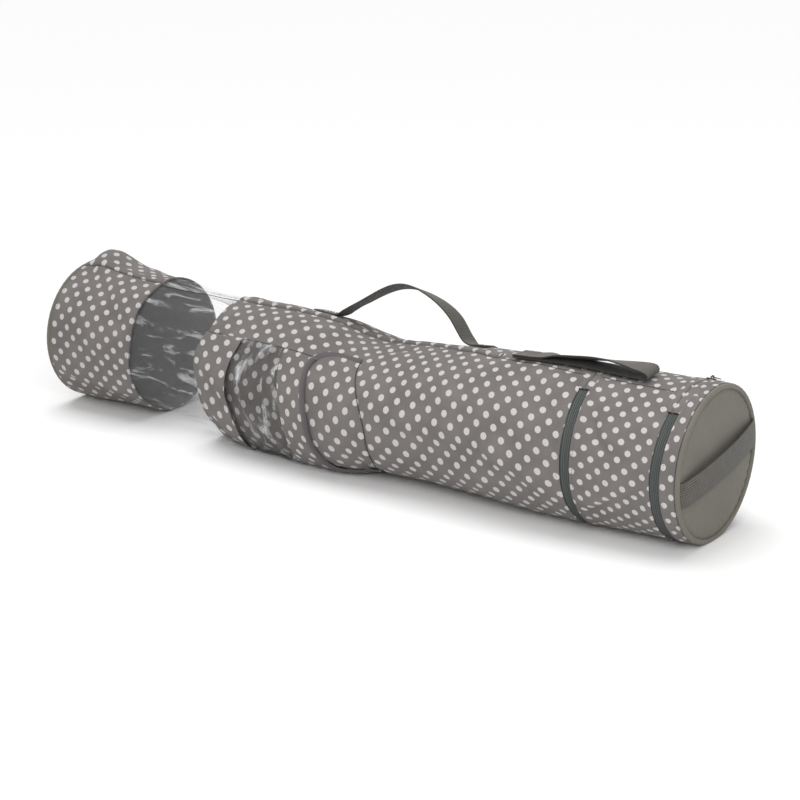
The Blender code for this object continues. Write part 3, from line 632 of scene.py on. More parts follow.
def body_drape(s, a):
    h = 0.0009 * ripple(s, a, 5) * ease(0.25, 0.32, s) + 0.0004 * ripple(s, a, 9, finest=170)
    h += fold(s, a, ((0.470, 80), (0.500, 81), (0.536, 86), (0.581, 87), (0.617, 89), (0.644, 97),
                     (0.672, 105), (0.703, 118), (0.716, 126)), 0.0014, 0.0044, 0.0080, 2.6)
    h += fold(s, a, ((0.520, 96), (0.570, 101), (0.620, 108), (0.660, 122)), -0.0020, 0.0, 0.008)
    h += fold(s, a, ((0.452, 22), (0.470, 15), (0.500, 10)), -0.0026, 0.0, 0.007)
    h += fold(s, a, ((0.438, 106), (0.458, 120), (0.476, 134), (0.490, 148)), -0.0020, 0.0014, 0.009)
    h += fold(s, a, ((0.500, 52), (0.545, 60), (0.600, 62), (0.655, 66)), 0.0018, 0.0014, 0.012)
    h += fold(s, a, ((0.640, 26), (0.672, 34), (0.700, 50), (0.712, 64)), -0.0022, 0.0014, 0.008)
    h += fold(s, a, ((0.245, 34), (0.300, 30), (0.360, 26), (0.400, 24)), 0.0, 0.0020, 0.009)
    h += fold(s, a, ((0.430, -30), (0.470, -52), (0.540, -80), (0.610, -96)), -0.0020, 0.0012, 0.014)
    h += fold(s, a, ((0.600, -40), (0.650, -64), (0.705, -78)), 0.0, 0.0018, 0.010)
    h += fold(s, a, ((0.250, -50), (0.330, -74), (0.420, -90)), 0.0, 0.0016, 0.012)
    groove = np.abs(s - pocket_right(a))
    h -= 0.0020 * np.exp(-(groove / 0.0022) ** 2) * ease(35, 39, a) * ease(162, 154, a)
    share = 0.72 + 0.13 * ease(0.36, 0.41, s) + 0.15 * ease(105, 130, a)
    h += share * filled(s, a) * ease(0.252, 0.300, s) * ease(172, 148, a)
    h += hem(s - WINDOW_END) * (s < 0.30) + hem(zip_edge(1, -1, a) - s) * (s > 0.60)
    return h + seam_groove(s, a)


def body_edges(station, angle):
    askew = zip_edge(1, -1, angle) - BODY_PANEL_END
    return station + askew * np.clip((station - 0.690) / 0.030, 0, 1)


def body_grid(s, a):
    """The print drifts along the panel, because the slack cloth was pulled unevenly."""
    left = dot_grid(s, a, (7.44, 5.26), (21.61, 1.88), (0.62, 21.08)) + np.array([[0.5], [-0.5]])
    middle = dot_grid(s, a, (13.42, 19.62))
    far_right = dot_grid(s, a, (2.23, 20.63), (21.17, 1.39), (2.21, 21.22))
    first, second = ease(0.33, 0.43, s), ease(0.46, 0.58, s)
    return (left * (1 - first) + middle * first) * (1 - second) + far_right * second


stations = spread(WINDOW_END + 0.0002, 0.245, 0.0011, 0.708, 0.0024, BODY_PANEL_END, 0.0010)
body_panel, s, a = round_panel("body_panel", stations, body_drape, body_edges, steps=216)
print_on(body_panel, *body_grid(s, a))
close_round(body_panel)
back_with(body_panel, dotted_cloth, lining)
dress(body_panel, "bag", "dotted_fabric", "body_sleeve")


# Long seam
# The panels are joined along the top in a lapped seam, a folded welt that leans to the back.
# Over the film the welt is film too. A line of thread runs along it and beside every hem; along the
# welt it is thick dark thread, partly painted shade for the shade line under the welt's edge.
WELT_WIDTH = 7.0              # degrees of the tube
WELT_HIGH = 0.0028            # its rise over the panel


def thread_of(name, colour):
    """Polyester thread, softly shiny, its plies too fine to show but for a little roughness."""
    material, tree, shader, place = new_finish(name, 0.55, sheen=0.1)
    plied = noise(tree, place["Object"], 2500.0)
    feed(shader, {"Base Color": uneven(tree, colour, 0.2, place["Object"], 700.0),
                  "Normal": relief(tree, plied, 0.5, 0.0001)})
    return material


thread_finish = thread_of("thread", (0.20, 0.19, 0.18))
# Dark thread, laid thick and nearly unbroken: partly real stitching, partly painted shade for the shade lines
# in seam grooves and under folded edges.
shade_line_thread = thread_of("shade_line_thread", (0.050, 0.045, 0.045))

STITCH = 0.0025               # length of thread that shows
bpy.ops.object.select_all(action="DESELECT")
bpy.ops.mesh.primitive_cylinder_add(vertices=6, radius=0.00027, depth=STITCH)
stitch = bpy.context.active_object
bpy.ops.object.mode_set(mode="EDIT")
bpy.ops.mesh.select_all(action="SELECT")
bpy.ops.mesh.subdivide(number_cuts=1)
bpy.ops.object.mode_set(mode="OBJECT")
stitch_points = np.array([tuple(v.co) for v in stitch.data.vertices])
stitch_faces = [tuple(f.vertices) for f in stitch.data.polygons]
ends = np.abs(stitch_points[:, 2]) > STITCH * 0.4
stitch_points[ends, :2] *= 0.5
stitch_points[ends, 1] -= 0.00022
bpy.data.objects.remove(stitch)


def sew(name, line, up, body, thick=None):
    """Lockstitch along a line of points on the cloth; thick is how much a dark seam is widened, its thread
    then partly painted shade.
    """
    pitch = 0.0026 if thick else 0.0032
    up = np.broadcast_to(up, line.shape)
    run = np.concatenate([[0], np.cumsum(np.linalg.norm(np.diff(line, axis=0), axis=1))])
    at = (np.arange(int(run[-1] / pitch)) + 0.5) * pitch

    def read(values, where):
        return np.stack([np.interp(where, run, values[:, k]) for k in range(3)], -1)

    middle = read(line, at)
    along = read(line, at + pitch / 3) - read(line, at - pitch / 3)
    along /= np.linalg.norm(along, axis=1)[:, None]
    side = np.cross(read(up, at), along)
    side /= np.linalg.norm(side, axis=1)[:, None]
    above = np.cross(along, side)
    x, y, z = (stitch_points[:, k][None, :, None] for k in range(3))
    across, rise = x * (thick or 1), y * (thick or 1) + 0.0001
    points = middle[:, None] + side[:, None] * across + above[:, None] * rise + along[:, None] * z
    faces = [tuple(v + k * len(stitch_points) for v in f) for k in range(len(at)) for f in stitch_faces]
    mesh = bpy.data.meshes.new(name)
    mesh.from_pydata(points.reshape(-1, 3).tolist(), [], faces)
    mesh.materials.append(shade_line_thread if thick else thread_finish)
    mesh.shade_smooth()
    run_of_thread = bpy.data.objects.new(name, mesh)
    bpy.context.scene.collection.objects.link(run_of_thread)
    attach(run_of_thread, body)
    return run_of_thread


def outward(angles):
    """Directions straight out of the tube."""
    angles = np.radians(angles)
    return np.stack([np.zeros(len(angles)), -np.sin(angles), np.cos(angles)], -1)


def sew_tube(name, stations, angles, drape, body, lift=0.0, thick=None):
    """A line of stitches on a panel, by its stations and angles."""
    stations, angles = np.broadcast_arrays(np.asarray(stations, float), np.asarray(angles, float))
    line = tube(stations, angles, drape(stations, from_top(angles)) + lift)
    return sew(name, line, outward(angles), body, thick)


def welt_grid(s, a):
    """The fold was cut along the print, so one row of dots keeps to its middle."""
    return dot_grid(s, a - seam_at(s) + 0.4 * WELT_WIDTH, (0.3, 0.0), (20.1, 0.0))


def welt(name, start, end, drape, grid, nodes):
    """A folded edge of cloth, or of film where grid is None."""
    finish, inside = (dotted_cloth, lining) if grid else (window_vinyl, window_vinyl)

    def shape(station, across):
        angle = seam_at(station) - WELT_WIDTH * (1 - across)
        high = WELT_HIGH * np.sqrt(1 - np.abs(2 * across - 1) ** 3)
        high = high * (1 + 0.15 * ripple(station, 30, 41, 190))
        dent = 0.0005 * np.exp(-((across - 0.62) / 0.07) ** 2)
        return tube(station, angle, drape(station, angle) - 0.0004 + high - dent)

    piece, station, across = lay(name, spread(start, end, 0.0022), np.linspace(0, 1, 19), shape)
    angle = seam_at(station) - WELT_WIDTH * (1 - across)
    print_on(piece, *(grid(station, angle) if grid else (station, RIM * np.radians(angle))))
    back_with(piece, finish, inside, 0.0009)
    dress(piece, "bag", "dotted_fabric" if grid else "clear_film", *nodes)


welt("far_welt", 0.0070, 0.1290, far_drape, lambda s, a: far_grid(s, a + 360), ["far_seam"])
welt("window_welt", 0.1285, 0.2345, window_drape, None, ["window_seam"])
welt("body_welt", 0.2340, 0.6020, body_drape, welt_grid, ["body_seam"])
# The welt's lines are thick dark thread: stitching, and painted shade for the shade line along the welt's
# edge.
for name, start, end, drape in (("far_welt_thread", 0.009, 0.127, far_drape),
                                ("window_welt_thread", 0.131, 0.232, window_drape),
                                ("body_welt_thread", 0.237, 0.600, body_drape)):
    line = spread(start, end, 0.002)
    sew_tube(name, line, seam_at(line) + 0.25, drape, "bag", 0.0002, 2.0)

whole_turn = np.linspace(20, 380, 500)
sew_tube("far_rim_thread", 0.0089, whole_turn, far_drape, "bag")
# far_edge_thread is thick dark thread at the cloth's edge over the film: stitching, and painted shade for the
# shade line there.
for name, station, lift, thick in (("far_window_thread", FAR_PANEL_END - HEM_STITCHES, 0.0001, None),
                                   ("far_edge_thread", 0.1293, 0.0, 1.3)):
    askew = far_edge(np.full(len(whole_turn), station), from_top(whole_turn))
    sew_tube(name, askew, whole_turn, far_drape, "bag", lift, thick)
sew_tube("body_window_thread", WINDOW_END + HEM_STITCHES, whole_turn, body_drape, "bag", 0.0001)
# Thick dark thread along the seam past the welt: stitching, and painted shade for the seam's shade line.
line = spread(0.606, 0.7150, 0.002)
sew_tube("body_seam_thread", line, seam_at(line), body_drape, "bag", 0.0004, 1.6)


# Pocket
# Sewn on the front of the main panel: a strip of canvas, a clear window, and a strip of canvas
# round an arched mouth bound in grey tape. Its bottom and sides stand off where it is filled.
POCKET_TOP, POCKET_LOW = 49.0, 157.5    # angles round the tube
POCKET_LIFT = 0.0012          # its lining over the main panel, before it is filled
POCKET_CLOTH = 0.0012
WINDOW_RIGHT = 0.54           # share of the pocket's width, as are the next two
ARCH_LEFT = 0.686
ARCH_MIDDLE, ARCH_HALF, ARCH_POWER = 87.0, 50.0, 3.3
BINDING_WIDTH = 0.0064


def pocket_station(share, angle):
    left = 0.2345 - 0.0055 * ease(45, 71, angle) + 0.028 * ease(71, 118, angle)
    return left + (pocket_right(angle) - left) * share


def window_left(angle):
    return 0.25 - 0.06 * ease(50, 110, angle)


def pocket_drape(s, a):
    h = 0.0008 * ripple(s, a, 51, finest=120)
    h += fold(s, a, ((0.236, 76), (0.247, 80), (0.261, 84), (0.281, 92.5), (0.296, 101)),
              0.0012, 0.0036, 0.0055)
    h += fold(s, a, ((0.2495, 46), (0.261, 62), (0.269, 77)), -0.0016, 0.0, 0.0035)
    h += fold(s, a, ((0.258, 108), (0.270, 122), (0.290, 140)), -0.0022, 0.0014, 0.006)
    h += fold(s, a, ((0.380, 146), (0.410, 140), (0.450, 128), (0.478, 120)), 0.0, 0.0010, 0.007)
    gathers = np.sin(2 * math.pi * s / 0.0125 + 2.2 * np.sin(s * 90))
    return h + 0.0006 * gathers * np.exp(-np.clip(a - POCKET_TOP, 0, 200) / 5.0)


def pocket_point(share, angle, out=0.0, sunk=0.0, aside=0.0):
    """Points on the filled pocket; sunk is the share by which it falls back to the main panel."""
    station = pocket_station(share, angle) + aside
    stands = filled(station, angle) + POCKET_LIFT + out + pocket_drape(station, angle)
    stands = stands * (1 - 0.9 * ease(0.90, 1.0, share) * ease(122, 138, angle))
    return tube(station, angle, stands * (1 - sunk) * (1 - 0.9 * ease(51.0, POCKET_TOP, angle)))


def arch_point(turn, grow):
    """Share and angle of a point on the arched mouth; turn runs from -90 (top) to 90 (bottom)."""
    cosine, sine = np.cos(np.radians(turn)), np.sin(np.radians(turn))
    width = 1 - ARCH_LEFT + grow / 0.235
    half = ARCH_HALF + np.degrees(grow / 0.090)
    rise = np.sign(sine) * np.abs(sine) ** (2 / ARCH_POWER)
    return 1 - width * np.maximum(cosine, 0) ** (2 / ARCH_POWER), ARCH_MIDDLE + half * rise


pocket_turns = spread(POCKET_TOP - 0.3, 53, 0.6, POCKET_LOW, 1.4)
rolled = (-1.0, -0.8, -0.6, -0.4, -0.2)


def strip_point(t, angle, out=POCKET_CLOTH):
    """The end strip; t below 0 is its rolled outer edge, back down to the main panel."""
    roll = np.clip(-t, 0, 1) * math.pi / 2
    return pocket_point(np.clip(t, 0, 1) * (window_left(angle) + 0.004), angle, out,
                        1 - np.cos(roll), -0.0030 * np.sin(roll))


places = np.concatenate([rolled, np.linspace(0, 1, 25)])
pocket_strip, t, a = lay("pocket_strip", places, pocket_turns, strip_point)
s = pocket_station(np.clip(t, 0, 1) * window_left(a), a) - 0.004 * np.clip(-t, 0, 1)
print_on(pocket_strip, *dot_grid(s, a, (0.98, 17.96), (22.5, 3.4), (-1.31, 20.86)))
back_with(pocket_strip, dotted_cloth, lining, POCKET_CLOTH)
dress(pocket_strip, "bag", "dotted_fabric", "pocket_end_strip")

# The pocket's film is tinted near black between its creases: painted shade for the dark inside of the pocket
# behind it.
pocket_vinyl = vinyl("pocket_vinyl", (62.0, 30.0, 1.0), 0.15, 0.36, (0.05, 0.048, 0.045, 1))


def film_point(t, angle):
    share = window_left(angle) - 0.012 + (WINDOW_RIGHT + 0.024 - window_left(angle)) * t
    crinkle = 0.0011 * np.abs(np.sin(t * 19 + 1.6 * np.sin(angle / 9)) * np.sin(t * 7.3 + angle / 16))
    crinkle += 0.0012 * np.sin(t * 44 + np.sin(t * 11)) * np.exp(-np.clip(angle - POCKET_TOP, 0, 200) / 9)
    return pocket_point(share, angle, 0.0002 + crinkle * ease(0, 0.1, t) * ease(1, 0.9, t))


pocket_film, t, a = lay("pocket_film", np.linspace(0, 1, 61), pocket_turns, film_point)
print_on(pocket_film, 0.085 * t, RIM * np.radians(a))
back_with(pocket_film, pocket_vinyl, pocket_vinyl, 0.0004)
dress(pocket_film, "bag", "clear_film", "pocket_window")

first_turn = -math.degrees(math.asin(((ARCH_MIDDLE - POCKET_TOP) / (ARCH_HALF + 1.6)) ** (ARCH_POWER / 2)))
SIDE_SHARE = 0.594            # of the strip's run lies beside the window, the rest under the mouth


def mouth_place(t, run):
    """Share and angle on the mouth strip: t from its edge to the arch, run from top to bottom."""
    down = np.clip(run / SIDE_SHARE, 0, 1)
    along = np.clip((run - SIDE_SHARE) / (1 - SIDE_SHARE), 0, 1)
    edge = (WINDOW_RIGHT - 0.004 + (1.004 - WINDOW_RIGHT) * along,
            POCKET_TOP + (POCKET_LOW - POCKET_TOP) * down)
    arch = arch_point(first_turn + (89.5 - first_turn) * run, BINDING_WIDTH * 0.15)
    return edge[0] + (arch[0] - edge[0]) * t, edge[1] + (arch[1] - edge[1]) * t


def mouth_point(t, run):
    share, angle = mouth_place(t, run)
    return pocket_point(share, angle, POCKET_CLOTH)


mouth_strip, t, run = lay("pocket_mouth_strip_cloth", np.linspace(0, 1, 25), np.linspace(0, 1, 121),
                          mouth_point)
share, a = mouth_place(t, run)
print_on(mouth_strip, *dot_grid(pocket_station(share, a), a, (43.7, -22.6), (17.94, 0.06), (3.9, 19.0)))
back_with(mouth_strip, dotted_cloth, lining, POCKET_CLOTH)
dress(mouth_strip, "bag", "dotted_fabric", "pocket_mouth_strip")

bias_tape = plain_cloth("bias_tape", (0.125, 0.111, 0.117))


def binding_point(across, turn):
    share, angle = arch_point(turn, -across * BINDING_WIDTH / 2)
    rounded = 0.0034 * np.sqrt(1 - np.abs(across) ** 2.4) - 0.0003
    return pocket_point(share, angle, POCKET_CLOTH * 0.4 + rounded)


binding, across, turn = lay("pocket_binding_tape", np.linspace(-1, 1, 13), np.linspace(-90, 90, 181),
                            binding_point)
print_on(binding, across * BINDING_WIDTH, turn / 180 * 0.25)
back_with(binding, bias_tape, bias_tape, 0.0007)
dress(binding, "bag", "binding", "pocket_binding")

share, angles = arch_point(spread(-80, 84, 1.0), -0.0004)
line = pocket_point(share, angles, POCKET_CLOTH * 0.4 + 0.0031)
sew("pocket_binding_thread", line, outward(angles), "bag")
# The strip's line, the right seam's line and the top line are thick dark thread: stitching, and painted shade
# for the shade lines along those edges.
angles = spread(51.5, 150, 1.0)
line = pocket_point(window_left(angles) + 0.006, angles, POCKET_CLOTH)
sew("pocket_strip_thread", line, outward(angles), "bag", 2.0)
line = pocket_point(WINDOW_RIGHT + 0.006, angles, POCKET_CLOTH + 0.0001)
sew("pocket_side_thread", line, outward(angles), "bag")
angles = spread(38.5, 150, 1.0)
sew_tube("pocket_right_thread", pocket_right(angles) + 0.0004, angles, body_drape, "bag", 0.0012, 2.2)
sew_tube("pocket_top_thread", spread(0.2360, 0.3860, 0.002), POCKET_TOP - 0.4,
         lambda s, a: body_drape(s, a) + 0.0004, "bag", 0.0, 1.4)


# Supplies panel
# A short panel of the same canvas between the two zips, round the space for small supplies,
# with a plain round of cloth as its floor. It is compressed, so it creases beside the zips.
SUPPLIES_START, SUPPLIES_END = 0.7290, 0.8200    # stations that zip_edge then moves


def supplies_drape(s, a):
    h = 0.0008 * ripple(s, a, 21) * ease(0.730, 0.742, s) * ease(0.820, 0.808, s)
    h += fold(s, a, ((0.738, 126), (0.756, 118), (0.772, 110), (0.794, 103), (0.815, 94)),
              0.0014, 0.0040, 0.0055)
    h += fold(s, a, ((0.744, 46), (0.751, 58), (0.760, 68), (0.783, 78)), -0.0044, 0.0022, 0.0055)
    h += fold(s, a, ((0.770, 62), (0.773, 80), (0.776, 98)), 0.0016, 0.0, 0.010)
    h += fold(s, a, ((0.736, 88), (0.752, 96), (0.770, 100)), -0.0010, 0.0, 0.005)
    h += fold(s, a, ((0.745, 22), (0.775, 30), (0.812, 36)), 0.0, 0.0008, 0.008)
    h += fold(s, a, ((0.742, -60), (0.770, -80), (0.810, -96)), 0.0, 0.0016, 0.009)
    h += seam_groove(s, a)
    return h + hem(s - zip_edge(1, 1, a)) * (s < 0.77) + hem(zip_edge(2, -1, a) - s) * (s > 0.78)


def supplies_edges(station, angle):
    start = (zip_edge(1, 1, angle) - SUPPLIES_START) * ease(0.755, SUPPLIES_START, station)
    return station + start + (zip_edge(2, -1, angle) - SUPPLIES_END) * ease(0.794, SUPPLIES_END, station)


def supplies_grid(s, a):
    return dot_grid(s, a, (43.68, 9.97), (18.73, 2.83), (-0.83, 18.01))


stations = spread(SUPPLIES_START, 0.741, 0.0010, 0.808, 0.0023, SUPPLIES_END, 0.0010)
supplies_panel, s, a = round_panel("supplies_panel", stations, supplies_drape, supplies_edges)
print_on(supplies_panel, *supplies_grid(s, a))
close_round(supplies_panel)
back_with(supplies_panel, dotted_cloth, lining)
dress(supplies_panel, "supplies", "dotted_fabric", "supplies_sleeve")
# Thick dark thread along the seam: stitching, and painted shade for the seam's shade line.
line = spread(0.733, 0.816, 0.002)
sew_tube("supplies_seam_thread", line, seam_at(line), supplies_drape, "supplies", 0.0004, 1.6)
refinish(cover_cloth, "divider")


# Zips
# Two coil zips of grey-green tape, each sewn between two folded cloth edges right round the
# bag except across the spine. The coil shows as fine ribs between the edges.
ZIP_TUCKED = 0.0104           # tape under the cloth, from the zip's middle

zip_finish, tree, shader, place = new_finish("zip_tape", 0.55, sheen=0.1, specular=0.45)
# The coil's ribs: their light tops are painted highlights and the dark gaps between them painted shade, over
# the tape's grey-green.
teeth = ranged(tree, bands(tree, place["UV"], 210.0, "Y"), least=0.55)
crossing = maths(tree, "MULTIPLY", teeth, bands(tree, place["UV"], 150.0, "X"))
feed(shader, {"Base Color": mixed(tree, crossing, (0.028, 0.034, 0.032, 1), (0.17, 0.19, 0.18, 1)),
              "Normal": relief(tree, crossing, 0.9, 0.0003)})


def zip_half(number, side, body, part):
    """Half a zip: its coil's ribs beside the middle, then flat tape tucked under the cloth."""
    first, last = SPINE_FRONT[number] - 1.0, 360 + SPINE_BACK + 1.0

    def shape(off, turn):
        ribbed = 0.0006 * np.cos(2 * math.pi * off / 0.0021) * ease(0.0058, 0.0050, off)
        sunk = -0.0010 + ribbed - 0.0014 * ease(0.0052, 0.0066, off)
        sunk -= 0.0024 * (ease(first + 4, first, turn) + ease(last - 4, last, turn))
        return tube(zip_middle(number, from_top(turn)) + side * off, turn, sunk)

    offsets = spread(0.0001, 0.0060, 0.0003, ZIP_TUCKED, 0.0014)
    turns = np.linspace(first, last, 300)
    half, off, turn = lay(f"zip_{number}_half_{part}", offsets[::-1] if side < 0 else offsets, turns, shape)
    print_on(half, off, RIM * np.radians(turn))
    back_with(half, zip_finish, zip_finish, 0.0007)
    dress(half, body, "zip_tape", f"zip_{number}_tape_{part}", f"zip_{number}_coil_{part}")


zip_half(1, -1, "bag", "body")
zip_half(1, 1, "supplies", "supplies")
zip_half(2, -1, "supplies", "supplies")
zip_half(2, 1, "lid", "lid")

slider_finish, tree, shader, place = new_finish("slider_enamel", 0.35, specular=0.5)
feed(shader, {"Metallic": 0.7,
              "Base Color": uneven(tree, (0.075, 0.082, 0.078), 0.35, place["Object"], 420.0),
              "Roughness": ranged(tree, noise(tree, place["Object"], 900.0), least=0.25, most=0.5)})
refinish(slider_finish, "zip_1_slider", "zip_1_pull", "zip_2_slider", "zip_2_pull")


# Spine cloth
# Over each zip, between its two ends, the canvas runs on from one section to the next. On the bag
# this strip is the hinge that bends when the section behind the zip is folded back; here it is laid once, on
# no body.
def spine_cloth(number, grid, replaced):
    middle = ZIP_STATIONS[number]
    front = SPINE_FRONT[number]
    reach = SPINE_HALF + 0.0012

    def shape(s, a):
        pinch = np.exp(-((s - middle) / 0.0032) ** 2)
        sewn = 0.0020 * np.exp(-((s - middle) / 0.0009) ** 2)
        return tube(s, a, -0.0001 + 0.0009 * pinch * ease(front - 20, front - 6, a) - sewn)

    strip, s, a = lay(f"spine_cloth_{number}", spread(middle - reach, middle + reach, 0.0007),
                      spread(SPINE_BACK - 0.8, front + 0.8, 0.8), shape)
    print_on(strip, *grid(s, a))
    back_with(strip, dotted_cloth, lining, 0.0012)
    dress(strip, None, "dotted_fabric", replaced)
    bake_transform(strip)


spine_cloth(1, body_grid, "body_sleeve")
spine_cloth(2, supplies_grid, "supplies_sleeve")


# End lid
# A narrow band of dotted canvas, piping round the rim, a round of olive-grey cloth over a stiff
# board, and a webbing strap across it that stands off the cover for a hand.
LENGTH = 0.850                # station of the lid's rim
LID_START = 0.8290            # station that zip_edge then moves


def lid_drape(s, a):
    return 0.0003 * ripple(s, a, 31) + hem(s - zip_edge(2, 1, a)) * (s < 0.838) + seam_groove(s, a)


def lid_edges(station, angle):
    return station + (zip_edge(2, 1, angle) - LID_START) * ease(0.8440, LID_START, station)


lid_band, s, a = round_panel("lid_band", spread(LID_START, 0.8449, 0.0010), lid_drape, lid_edges)
print_on(lid_band, *dot_grid(s, a, (147.48, 58.87), (16.25, -0.15), (0.89, 19.82)))
close_round(lid_band)
back_with(lid_band, dotted_cloth, lining)
dress(lid_band, "lid", "dotted_fabric", "lid_sleeve")
dress(round_cover("lid_cover_cloth", 0.8482, 1, 0.0010), "lid", "plain_fabric", "lid_cover")
dress(covered_cord("lid_piping_cord", LENGTH - PIPING_CORD), "lid", "plain_fabric", "lid_piping")

for number, body_near, body_far, drape_near, drape_far in (
        (1, "bag", "supplies", body_drape, supplies_drape),
        (2, "supplies", "lid", supplies_drape, lid_drape)):
    turns = spread(SPINE_FRONT[number] - 6, 360 + SPINE_BACK + 6, 0.8)
    front = from_top(turns)
    for side, body, drape in ((-1, body_near, drape_near), (1, body_far, drape_far)):
        hemmed = zip_edge(number, side, front) + side * HEM_STITCHES
        sew_tube(f"zip_{number}_thread_{body}", hemmed, turns, drape, body, 0.0001)

WEB_HALF = 0.0125             # half the width of all the webbing
WEB_THICK = 0.0016


def webbing_finish(name, colour, across, along, slant=False):
    """Woven strap, flat ribs or a herringbone where slant is set; floats painted paler and gaps darker, as
    painted highlight and shade.
    """
    material, tree, shader, place = new_finish(name, 0.62, sheen=0.1, specular=0.4)
    cloth = place["UV"]
    if slant:
        split = put(tree, "ShaderNodeSeparateXYZ", {0: cloth}).outputs
        raised = maths(tree, "ADD", maths(tree, "PINGPONG", split[0], 0.0031), split[1])
        cloth = put(tree, "ShaderNodeCombineXYZ", {0: split[0], 1: raised}).outputs[0]
    crossed, threads = weave(tree, cloth, across, along, 0.0004)
    base = uneven(tree, colour, 0.12, place["UV"], 90.0)
    feed(shader, {"Base Color": shaded(tree, base, crossed, 0.4, 1.6), "Normal": threads})
    return material


def strap(name, middle, across, distance, finish, dip=None, under=None, half=WEB_HALF):
    """Webbing along a line of middles; dip lowers its edges where it lies over the tube."""
    dip = np.zeros(len(middle)) if dip is None else dip
    edge = np.concatenate([[-1, -0.985], np.linspace(-0.93, 0.93, 9), [0.985, 1]])
    facing = np.cross(across, -np.gradient(middle, axis=0))
    facing /= np.linalg.norm(facing, axis=1)[:, None]

    def shape(side, row):
        row = np.rint(row).astype(int)
        lowered = facing[row] * (dip[row] * side**2)[:, None]
        return middle[row] + across[row] * side[:, None] * half + lowered

    piece, side, row = lay(name, edge, np.arange(len(middle)), shape)
    print_on(piece, side * half, distance[np.rint(row).astype(int)])
    back_with(piece, finish, under or finish, WEB_THICK, 0)
    run_modifier(piece, "BEVEL", width=0.0004, segments=2, limit_method="ANGLE", angle_limit=math.radians(60))
    bpy.ops.object.shade_smooth_by_angle(angle=math.radians(50))
    return piece


GRAB_HALF, GRAB_BOW, GRAB_TILT = 0.0770, 0.0066, math.radians(10.2)
grab_webbing = webbing_finish("grab_webbing", (0.146, 0.136, 0.118), 115.0, 125.0, slant=True)
t = np.linspace(-1, 1, 73)
lid_middle_z = (slack(LENGTH, 2) + slack(LENGTH, 3)) / 2 + 0.002
bow = GRAB_BOW * (1 - np.abs(t) ** 2.4) - 0.0022 * ease(0.93, 1.0, np.abs(t))
middle = np.stack([FAR_END + LENGTH + 0.0005 + bow,
                   AXIS_Y + GRAB_HALF * t * math.cos(GRAB_TILT),
                   lid_middle_z + GRAB_HALF * t * math.sin(GRAB_TILT)], -1)
across = np.tile((0, -math.sin(GRAB_TILT), math.cos(GRAB_TILT)), (len(t), 1))
grab_strap = strap("grab_strap_webbing", middle, across, GRAB_HALF * t, grab_webbing, half=0.0140)
dress(grab_strap, "lid", "webbing", "grab_strap")


# Carry handle
# One length of webbing. Both ends are sewn flat to the bag with a boxed cross, then it bends up
# and arches over, leaning back a little under its own weight.
HANDLE_Y = 0.0301             # the line below is its stations and heights
HANDLE_LINE = ((0.3618, 0.1508), (0.3700, 0.1563), (0.3796, 0.1626), (0.3916, 0.1696), (0.4080, 0.1796),
               (0.4230, 0.1880), (0.4360, 0.1936), (0.4500, 0.1966), (0.4655, 0.1959), (0.4800, 0.1921),
               (0.4948, 0.1860), (0.5078, 0.1778), (0.5156, 0.1706), (0.5206, 0.1640), (0.5258, 0.1565),
               (0.5308, 0.1504))
HANDLE_LEANS = (12, 11, 10, 11, 13, 17, 21, 24, 24, 21, 17, 13, 11, 11, 12, 12)
FOOT_LIFT = 0.0014            # middle of webbing that is sewn flat on the tube
FAR_FOOT_ANGLE, NEAR_FOOT_ANGLE = -18.5, -19.5


def through(points, count):
    """Smooth line through a few points, count points long, with its distance from the start."""
    points = np.asarray(points, float)
    run = np.concatenate([[0], np.cumsum(np.linalg.norm(np.diff(points[:, :3], axis=0), axis=1))])
    at = np.linspace(0, run[-1], count)
    return curve(run, points, np.gradient(points, run, axis=0), at), at


def leaning(lean):
    """Directions across webbing that leans by these degrees."""
    lean = np.radians(lean)
    return np.stack([np.zeros(len(lean)), np.cos(lean), -np.sin(lean)], -1)


handle_webbing = webbing_finish("handle_webbing", (0.108, 0.099, 0.083), 130.0, 150.0)
# shaded_webbing is a darker copy of the webbing's colour: painted shade for faces turned from the light,
# under the handle and inside the loop.
shaded_webbing = webbing_finish("shaded_webbing", (0.050, 0.044, 0.039), 130.0, 150.0)
far_foot, near_foot = ([(*tube(s, angle, FOOT_LIFT), 18.5, 1) for s in stations]
                       for stations, angle in (((0.3290, 0.3400, 0.3510), FAR_FOOT_ANGLE),
                                               ((0.5420, 0.5530, 0.5650), NEAR_FOOT_ANGLE)))
arch = [(FAR_END + s, HANDLE_Y, z, lean, 0) for (s, z), lean in zip(HANDLE_LINE, HANDLE_LEANS)]
line, distance = through(far_foot + arch + near_foot, 190)
across = leaning(line[:, 3])
# The handle's underside takes shaded_webbing: painted shade.
carry_handle = strap("carry_handle_webbing", line[:, :3], across, distance, handle_webbing,
                     -0.0009 * np.clip(line[:, 4], 0, 1), shaded_webbing)
dress(carry_handle, None, "webbing", "carry_handle", "handle_leg_far", "handle_leg_near", "handle_foot_far",
      "handle_foot_near")
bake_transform(carry_handle)


def boxed_cross(name, start, end, middle_angle, lift):
    """A box of stitches with a cross in it, on webbing that lies on the tube."""
    half = math.degrees(0.0100 / RIM)
    low, high = middle_angle - half, middle_angle + half
    path = [(start, low), (end, low), (end, high), (start, high), (start, low), (end, high), (start, high),
            (end, low)]
    stations = np.concatenate([np.linspace(p[0], q[0], 20) for p, q in zip(path, path[1:])])
    angles = np.concatenate([np.linspace(p[1], q[1], 20) for p, q in zip(path, path[1:])])
    sew_tube(name, stations, angles, lambda s, a: 0 * s + lift, "bag")


boxed_cross("handle_far_thread", 0.3310, 0.3500, FAR_FOOT_ANGLE, FOOT_LIFT + WEB_THICK / 2)
boxed_cross("handle_near_thread", 0.5435, 0.5630, NEAR_FOOT_ANGLE, FOOT_LIFT + WEB_THICK / 2)


